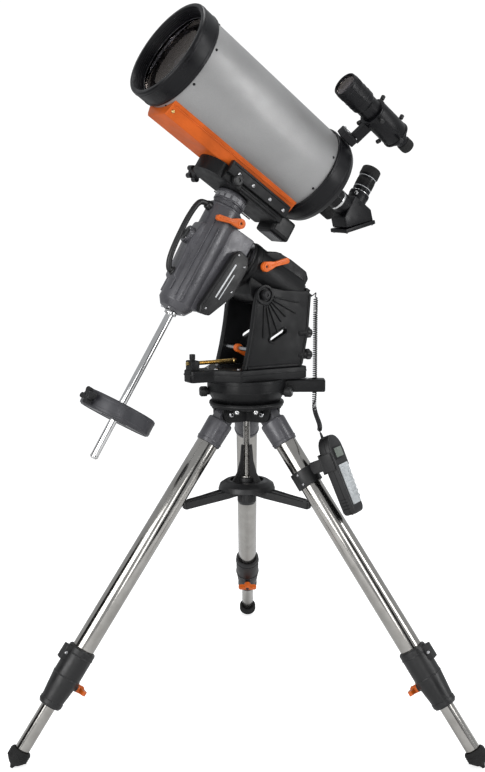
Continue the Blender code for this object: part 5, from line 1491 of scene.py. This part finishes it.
def tube_fittings():
    optics = Kit(OPTICS, "dec_axis", "black_anodised")
    for label, z in (("front", RING_BACK_Z - 0.0075), ("rear", CELL_FRONT_Z + 0.0075)):
        optics.bolts(f"tube_{label}_screws", around(8, TUBE_R - 0.0003, z, 12, TO_X), 0.0030, 0.0022)
    for k, z in enumerate((FRONT_Z - 0.0090, RING_BACK_Z + 0.0070)):
        optics.ring(f"front_ring_bead_{k}", RING_R + 0.0006, RING_R - 0.002, z + 0.0012, z - 0.0012, TUBE_STEPS)
    steps = [(0.1035, 0.3045), (0.1024, 0.3010), (0.1013, 0.2972), (0.1004, 0.2935), (0.0997, 0.2900)]
    for k, (radius, z) in enumerate(steps):
        sizes = (radius + 0.0020, radius - 0.0012, z + 0.0005, z - 0.0005)
        optics.ring(f"baffle_step_{k}", *sizes, TUBE_STEPS, 0.0002)
    seat = RING_BACK_Z + 0.012 + GAP
    optics.ring("lens_retainer", 0.0984, 0.0945, seat + 0.0098, seat + 0.0074, TUBE_STEPS)
    steel = optics.of("bearing_steel")
    steel.ring("lens_retainer_edge", 0.0948, 0.0943, seat + 0.0094, seat + 0.0086, TUBE_STEPS, 0.0001)
    spot = [(0, -0.0062), (0.0240, -0.0056), (0.0240, -0.0064), (0, -0.0070)]
    optics.solid("secondary_spot", [(radius, RING_BACK_Z + z) for radius, z in spot], 28, 0)
    matt = optics.of("matt_black")
    for k in range(8):
        z = 0.230 - 0.045 * k
        sizes = (TUBE_R - TUBE_SHEET - 0.0002, 0.0985, z + 0.0006, z - 0.0006)
        matt.ring(f"inner_baffle_{k}", *sizes, TUBE_STEPS, 0.0002)
    matt.ring("tube_liner", 0.1058, 0.1052, 0.262, -0.128, TUBE_STEPS, 0)
    for k, z in enumerate((CELL_FRONT_Z - 0.0065, -0.1700)):
        optics.ring(f"cell_bead_{k}", RING_R + 0.0005, RING_R - 0.003, z + 0.0012, z - 0.0012, TUBE_STEPS)
    steel.bolts("cell_rear_screws", around(6, 0.0870, -0.1987, 30, turn("X", 180)), 0.0036, 0.0026)
    optics.knurl("visual_back_knurl", 0.0322, -0.2080, -0.2260, 60)
    profile = [(0, 0.0150), (0.0036, 0.0150), (0.0042, 0.0142), (0.0042, 0.0060), (0.0020, 0.0050)]
    thumb = turned([*profile, (0.0020, -0.001), (0, -0.001)], Matrix(), 14)
    optics.of("chrome").stamp("visual_back_thumbs", thumb, around(3, 0.0320, -0.2310, 50, TO_X))
    focuser = Kit(FOCUSER, "focuser", "rubber")
    focuser.ribs("focuser_ribs", 26, 0.0136, (0.0018, 0.0018, 0.0290), CELL_BACK_Z - 0.0195)
    back = [move(z=CELL_BACK_Z - 0.0373) @ turn("X", 180)]
    focuser.of("black_anodised").bolts("focuser_cap", back, 0.0075, 0.0012, False)


def finder_fittings():
    finder = Kit(FINDER, "dec_axis", "black_anodised")
    glass = finder.of("optic_glass")
    finder.knurl("finder_focus_knurl", 0.0296, -0.0600, -0.0760, 54)
    finder.ring("finder_objective_lip", 0.0288, 0.0262, -0.0505, -0.0535, 26)
    for k, z in enumerate((-0.090, -0.104)):
        finder.ring(f"finder_band_{k}", 0.0301, 0.0280, z + 0.001, z - 0.001, 26)
    lens = [(0, -0.0520), (0.0120, -0.0526), (0.0240, -0.0545), (0.0240, -0.0590), (0, -0.0590)]
    glass.solid("finder_objective", lens, 26, 0)
    profile = [(0, 0.0170), (0.0044, 0.0170), (0.0052, 0.0160), (0.0052, 0.0070), (0.0022, 0.0060)]
    thumb = turned([*profile, (0.0022, -0.002), (0, -0.002)], Matrix(), 16)
    places = [place for z in (-0.162, -0.236) for place in around(3, 0.0322, z, 35, TO_X)]
    finder.of("black_plastic").stamp("finder_thumbs", thumb, places)
    for k, z in enumerate((-0.1545, -0.2435)):
        finder.ring(f"finder_ring_bead_{k}", 0.0336, 0.0310, z + 0.0025, z - 0.0025, 26)
    cup = [(0.0160, -0.2725), (0.0168, -0.2740), (0.0172, -0.2900), (0.0160, -0.2960), (0.0128, -0.2960)]
    finder.of("rubber").solid("finder_eyecup", [*cup, (0.0128, -0.2725)], 22, closed=True)
    eye = [(0, -0.2958), (0.0110, -0.2958), (0.0110, -0.2968), (0, -0.2972)]
    glass.solid("finder_eye_lens", eye, 18, 0)
    radial = Kit(OPTICS @ turn("Z", -FINDER_ANGLE), "dec_axis", "bearing_steel")
    foot = grid([RING_R + 0.0223], (-0.011, 0.011), (-0.170, -0.140), TO_X)
    radial.bolts("finder_foot_screws", foot, 0.0028, 0.0020)


def eyepiece_fittings():
    back = Kit(DIAGONAL @ turn("Y", -45.9) @ move(x=-0.0430, z=-0.0005), "diagonal", "bearing_steel")
    corners = grid([0], (-0.024, 0.024), (-0.042, 0.042), turn("Y", -90))
    back.bolts("diagonal_back_screws", corners, 0.0030, 0.0020)
    back.at(move(x=0.0004)).of("black_plastic").bar("diagonal_back_panel", (0.0022, 0.048, 0.072), 0.0008)
    socket = Kit(DIAGONAL @ TO_X, "diagonal", "black_anodised")
    chrome = socket.of("chrome")
    socket.knurl("diagonal_socket_knurl", 0.0248, 0.0500, 0.0420, 52)
    chrome.ring("diagonal_socket_lip", 0.0252, 0.0172, 0.0522, 0.0508, 26)
    profile = [(0, 0.0150), (0.0038, 0.0150), (0.0046, 0.0140), (0.0046, 0.0060), (0.0020, 0.0050)]
    thumb = turned([*profile, (0.0020, -0.002), (0, -0.002)], Matrix(), 14)
    chrome.stamp("diagonal_thumbs", thumb, around(3, 0.0245, 0.036, 100, TO_X)[:2])
    Kit(DIAGONAL, "diagonal", "chrome").ring("diagonal_nose_ring", 0.0262, 0.0240, 0.0560, 0.0500, 26)
    ocular = socket.of("rubber", "eyepiece")
    ocular.knurl("eyepiece_knurl", 0.0226, 0.0880, 0.0700, 46)
    for k, z in enumerate((0.0945, 0.0650)):
        ocular.of("white_stripe").ring(f"eyepiece_band_{k}", 0.0230, 0.0210, z + 0.0007, z - 0.0007, 24, 0.0002)
    cup = [(0.0170, 0.1185), (0.0215, 0.1226), (0.0246, 0.1198), (0.0248, 0.1010), (0.0236, 0.1000)]
    ocular.solid("eyepiece_eyecup", [*cup, (0.0170, 0.1005)], 24, 0.0012, True)
    lens = [(0, 0.1190), (0.0100, 0.1186), (0.0140, 0.1180), (0.0140, 0.1175), (0, 0.1175)]
    ocular.of("optic_glass").solid("eyepiece_eye_lens", lens, 22, 0)


def handset_fittings():
    wide, deep, long = HANDSET_SIZE
    leg = Kit(HANDSET, "leg_2", "rubber")
    face = leg.at(turn("X", 90) @ move(z=deep / 2))
    bezel = [(0.0215, 0.066), (-0.0215, 0.066), (-0.0225, 0.036), (0.0225, 0.036)]
    face.of("black_anodised").slab("handset_bezel", bezel, 0.0028, 0.0010)
    glass = [(0.0175, 0.0620), (-0.0175, 0.0620), (-0.0175, 0.0405), (0.0175, 0.0405)]
    face.at(move(z=0.0016)).of("screen").slab("handset_screen", glass, 0.0010, 0.0002)
    outline = [*arc(0.0030, 0, 0.0032, -90, 90, 6), *arc(-0.0030, 0, 0.0032, 90, 270, 6)]
    spots = [(row, column) for row in range(7) for column in (-1, 0, 1) if column or row not in (1, 2)]
    keys = [move(column * 0.0122, 0.0150 - row * 0.0118, 0.0040) for row, column in spots]
    mat = face.of("pale_keys", "keypad")
    mat.stamp("handset_keys", prism(outline, 0.0030, Matrix(), 0.0008), keys)
    pad = [(0, 0.0048), (0.0055, 0.0046), (0.0070, 0.0030), (0.0070, 0.002), (0, 0.002)]
    mat.at(move(y=-0.0025)).solid("handset_centre_key", pad, 16)
    waist = face.place @ move(z=-0.012)
    seam = prism(handset_outline(wide + 0.0010, long + 0.0010, 0), 0.0016, waist, 0.0004)
    cut(seam, prism(handset_outline(wide - 0.0040, long - 0.0040, 0), 0.02, waist))
    face.keep(seam, "handset_seam")
    out = wide * 0.40 + 0.0004
    grips = grid((-out, out), [0], [-0.030 - 0.0075 * k for k in range(7)])
    leg.stamp("handset_grips", block((0.0022, 0.016, 0.0030), Matrix(), 0.0009), grips)
    holder = Kit(leg_frame("leg_2") @ move(z=-0.175), "leg_2", "bearing_steel")
    holder.bolts("holder_screws", grid([-0.0308], [0], (-0.012, 0.012), turn("Y", -90)), 0.0032, 0.0022)


# ---------------------------------------------------------------- cord

def curled(route, coil, start, stop, steps_per_turn=16, pitch=0.0050):
    """A route whose middle is wound into a helix of a coil radius, from the share start to the share stop."""
    fine = smoothed(route, 400)
    lengths = [0.0]
    for a, b in zip(fine, fine[1:]):
        lengths.append(lengths[-1] + (b - a).length)
    whole = lengths[-1]
    count = int(whole / pitch * steps_per_turn)
    angle = 0.0

    def at(s):
        hi = min(max(bisect.bisect_right(lengths, s), 1), len(lengths) - 1)
        lo = hi - 1
        t = (s - lengths[lo]) / max(1e-9, lengths[hi] - lengths[lo])
        return fine[lo].lerp(fine[hi], t), (fine[hi] - fine[lo]).normalized()

    points = []
    side = None
    for i in range(count + 1):
        share = i / count
        centre, along = at(share * whole)
        if side is None:
            side = along.orthogonal().normalized()
        side = (side - along * side.dot(along)).normalized()
        other = along.cross(side)
        ease = min(1.0, max(0.0, (share - start) / 0.07), max(0.0, (stop - share) / 0.07))
        ease = ease * ease * (3 - 2 * ease)
        angle += 2 * math.pi / steps_per_turn * ease
        grow = (coil - WIRE_R) * ease
        points.append(centre + side * grow * math.cos(angle) + other * grow * math.sin(angle))
    return points


def thin_route(points, least):
    """The points with any that lie nearer than a distance to the one before left out."""
    kept = [points[0]]
    for point in points[1:-1]:
        if (point - kept[-1]).length >= least:
            kept.append(point)
    return [*kept, points[-1]]


def wire_piece(name, points, start_body, end_body, start, end):
    """The wire's skin along its points."""
    made = shown(swept(points, WIRE_R, 3), name, "cord_jacket")
    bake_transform(made)
    return made


def make_cord():
    """The control cord in three joined lengths, one for each joint it crosses."""
    exit_point = POLAR @ Vector((0.018, -0.038, RA_REAR - 0.0085))
    lead = POLAR @ Vector((0.018, -0.040, RA_REAR - 0.020))
    corner = AZIMUTH @ Vector((-0.1445, 0.074, 1.014))
    hang, middle, guide = [TRIPOD @ Vector((0.1615, 0.0115, z)) for z in (0.960, 0.880, 0.794)]
    first = thin_route(smoothed([exit_point, lead, corner - Vector((0, 0, 0.002))], 24), 0.001)
    wire_piece("cord_lead", first, "ra_housing", "azimuth_head", exit_point, corner)
    over = hang.lerp(corner, 0.35) - Vector((0, 0, 0.004))
    drop = [first[-1], over, hang, middle, guide]
    drop = thin_route(curled(drop, CORD_CURL_R - 0.0002, 0.01, 1.0), 0.0006)
    clip = [TRIPOD @ Vector((0.1615, 0.0115, z)) for z in (0.80, 0.79)]
    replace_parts(wire_piece("cord_drop", drop, "azimuth_head", "hub", *clip), "cord_upper")
    wide, _, long = HANDSET_SIZE
    entry, above = [HANDSET @ Vector((-wide * 0.30, 0, long / 2 + up)) for up in (0.0002, 0.018)]
    bend = (guide + entry) / 2 - Vector((-0.002, 0.004, 0.030))
    tail = [drop[-1], TRIPOD @ Vector((0.1610, 0.008, 0.740)), bend, above, entry]
    tail = thin_route(curled(tail, CORD_CURL_R * 0.95, 0.0, 0.90), 0.0006)
    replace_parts(wire_piece("cord_tail", tail, "hub", "leg_2", guide, entry), "cord_lower")
    relief = [(0, 0.0145), (0.0021, 0.0145), (0.0026, 0.0110), (0.0034, 0.0020), (0.0040, -0.0010)]
    relief += [(0, -0.0010)]
    top = Kit(HANDSET @ move(x=-wide * 0.30, z=long / 2 - 0.0005), "leg_2", "rubber")
    top.solid("cord_relief_handset", relief, 12, 0.0003)
    port = Kit(POLAR @ move(x=0.018, y=-0.038, z=RA_REAR - 0.0075) @ turn("X", 180), "ra_housing", "rubber")
    port.solid("cord_relief_housing", relief, 12, 0.0003)


# ---------------------------------------------------------------- camera, light and floor

def make_camera():
    data = bpy.data.cameras.new("camera")
    data.sensor_width = 36.0
    data.lens = 44.53
    data.clip_start = 0.05
    data.clip_end = 50.0
    camera = bpy.data.objects.new("camera", data)
    bpy.context.scene.collection.objects.link(camera)
    camera.location = (PILLAR_X + 0.006, PILLAR_Y - 2.2229, 1.1247)
    camera.rotation_euler = (math.radians(90 - 8.45), 0.0034, 0.0064)
    bpy.context.scene.camera = camera


def area_light(name, place, target, size, power, colour=(1, 1, 1)):
    data = bpy.data.lights.new(name, "AREA")
    data.shape = "RECTANGLE"
    data.size, data.size_y = size
    data.energy = power
    data.color = colour
    light = bpy.data.objects.new(name, data)
    bpy.context.scene.collection.objects.link(light)
    light.location = place
    light.rotation_euler = (Vector(target) - Vector(place)).to_track_quat("-Z", "Y").to_euler()


def camera_only(tree, seen, lit):
    """A mix of two shader outputs: the camera sees one, and everything else is lit by the other."""
    path = tree.nodes.new("ShaderNodeLightPath")
    mix = tree.nodes.new("ShaderNodeMixShader")
    tree.links.new(path.outputs["Is Camera Ray"], mix.inputs["Fac"])
    tree.links.new(lit, mix.inputs[1])
    tree.links.new(seen, mix.inputs[2])
    return mix.outputs["Shader"]


def background(tree, colour, strength):
    made = tree.nodes.new("ShaderNodeBackground")
    made.inputs["Color"].default_value = (*colour, 1)
    made.inputs["Strength"].default_value = strength
    return made.outputs["Background"]


def dark_card(name, place, target, size):
    """A black studio flag that is seen only in the polished metal."""
    made = shown(evaluated_mesh(block((*size, 0.01), Matrix())), name, "matt_black")
    clear_helpers()
    made.location = place
    made.rotation_euler = (Vector(target) - Vector(place)).to_track_quat("-Z", "Y").to_euler()
    made.visible_camera = False
    made.visible_diffuse = False
    made.visible_shadow = False
    made.visible_transmission = False


def make_stage():
    bpy.ops.mesh.primitive_plane_add(size=60, location=(0, 0, -0.0005))
    floor = bpy.context.active_object
    floor.name = "floor"
    made = bpy.data.materials.new("floor")
    made.use_nodes = True
    tree = made.node_tree
    shader = tree.nodes["Principled BSDF"]
    shader.inputs["Base Color"].default_value = (0.80, 0.80, 0.80, 1)
    shader.inputs["Roughness"].default_value = 0.8
    shader.inputs["Specular IOR Level"].default_value = 0.1
    glow = tree.nodes.new("ShaderNodeEmission")
    glow.inputs["Color"].default_value = (1, 1, 1, 1)
    glow.inputs["Strength"].default_value = 0.62
    both = tree.nodes.new("ShaderNodeAddShader")
    tree.links.new(shader.outputs["BSDF"], both.inputs[0])
    tree.links.new(glow.outputs["Emission"], both.inputs[1])
    surface = camera_only(tree, both.outputs["Shader"], shader.outputs["BSDF"])
    tree.links.new(surface, tree.nodes["Material Output"].inputs["Surface"])
    floor.data.materials.append(made)
    world = bpy.data.worlds.new("studio")
    bpy.context.scene.world = world
    world.use_nodes = True
    tree = world.node_tree
    seen = background(tree, (1.0, 1.0, 1.0), 1.05)
    lit = background(tree, (0.96, 0.98, 1.0), 0.55)
    tree.links.new(camera_only(tree, seen, lit), tree.nodes["World Output"].inputs["Surface"])
    area_light("key", (-1.9, -2.6, 1.5), (0, -0.1, 0.9), (1.8, 2.2), 58)
    area_light("side", (2.5, -1.3, 1.7), (0, -0.1, 0.9), (0.6, 2.4), 34)
    area_light("top", (0.2, 0.3, 3.4), (0, 0, 1.0), (1.6, 1.2), 26)
    area_light("front", (0.5, -3.4, 1.2), (0, -0.1, 0.7), (0.5, 2.0), 14)
    dark_card("card_left", (-2.0, -0.9, 0.6), (0, -0.1, 0.5), (1.1, 2.2))
    dark_card("card_right", (1.5, -2.6, 0.9), (0, -0.1, 0.7), (0.8, 2.6))
    dark_card("card_back", (-0.6, 2.4, 0.9), (0, 0, 0.7), (0.8, 2.6))
    bpy.context.scene.view_settings.view_transform = "Standard"


def build_legs():
    for name in LEG_AZIMUTHS:
        for build in (leg_sleeve, leg_upper_tube, leg_collar, leg_lock_knob, leg_lower_tube, leg_foot):
            build(name)


def build_parts():
    tripod_hub()
    centre_rod()
    build_legs()
    spreader_tray()
    spreader_knob()
    azimuth_base()
    cheek("cheek_near", 1)
    cheek("cheek_far", -1)
    for name, azimuth in AZIMUTH_KNOBS.items():
        azimuth_knob(name, TRIPOD @ turn("Z", azimuth) @ move(z=0.7855) @ TO_X)
    clutch_lever("ra_clutch_lever", RA_CLUTCH)
    clutch_lever("dec_clutch_lever", DEC_CLUTCH)
    for build in (latitude_screw, latitude_cross_bolt, latitude_handle, ra_housing, ra_shaft, dec_housing,
                  dec_side_cover, carry_handle, dec_shaft, counterweight_bar, counterweight, counterweight_knob,
                  saddle, saddle_knob, dovetail_bar, optical_tube, front_ring, corrector_lens, rear_cell,
                  baffle_tube, primary_mirror, focuser_knob, finder_bracket, finder_tube, star_diagonal, eyepiece,
                  handset_holder, handset, keypad):
        build()


def main():
    make_materials()
    make_camera()
    make_cord()
    build_parts()
    for fit in (tripod_fittings, mount_fittings, polar_fittings, declination_fittings, weight_fittings,
                saddle_fittings, tube_fittings, finder_fittings, eyepiece_fittings, handset_fittings):
        fit()
    make_stage()


main()
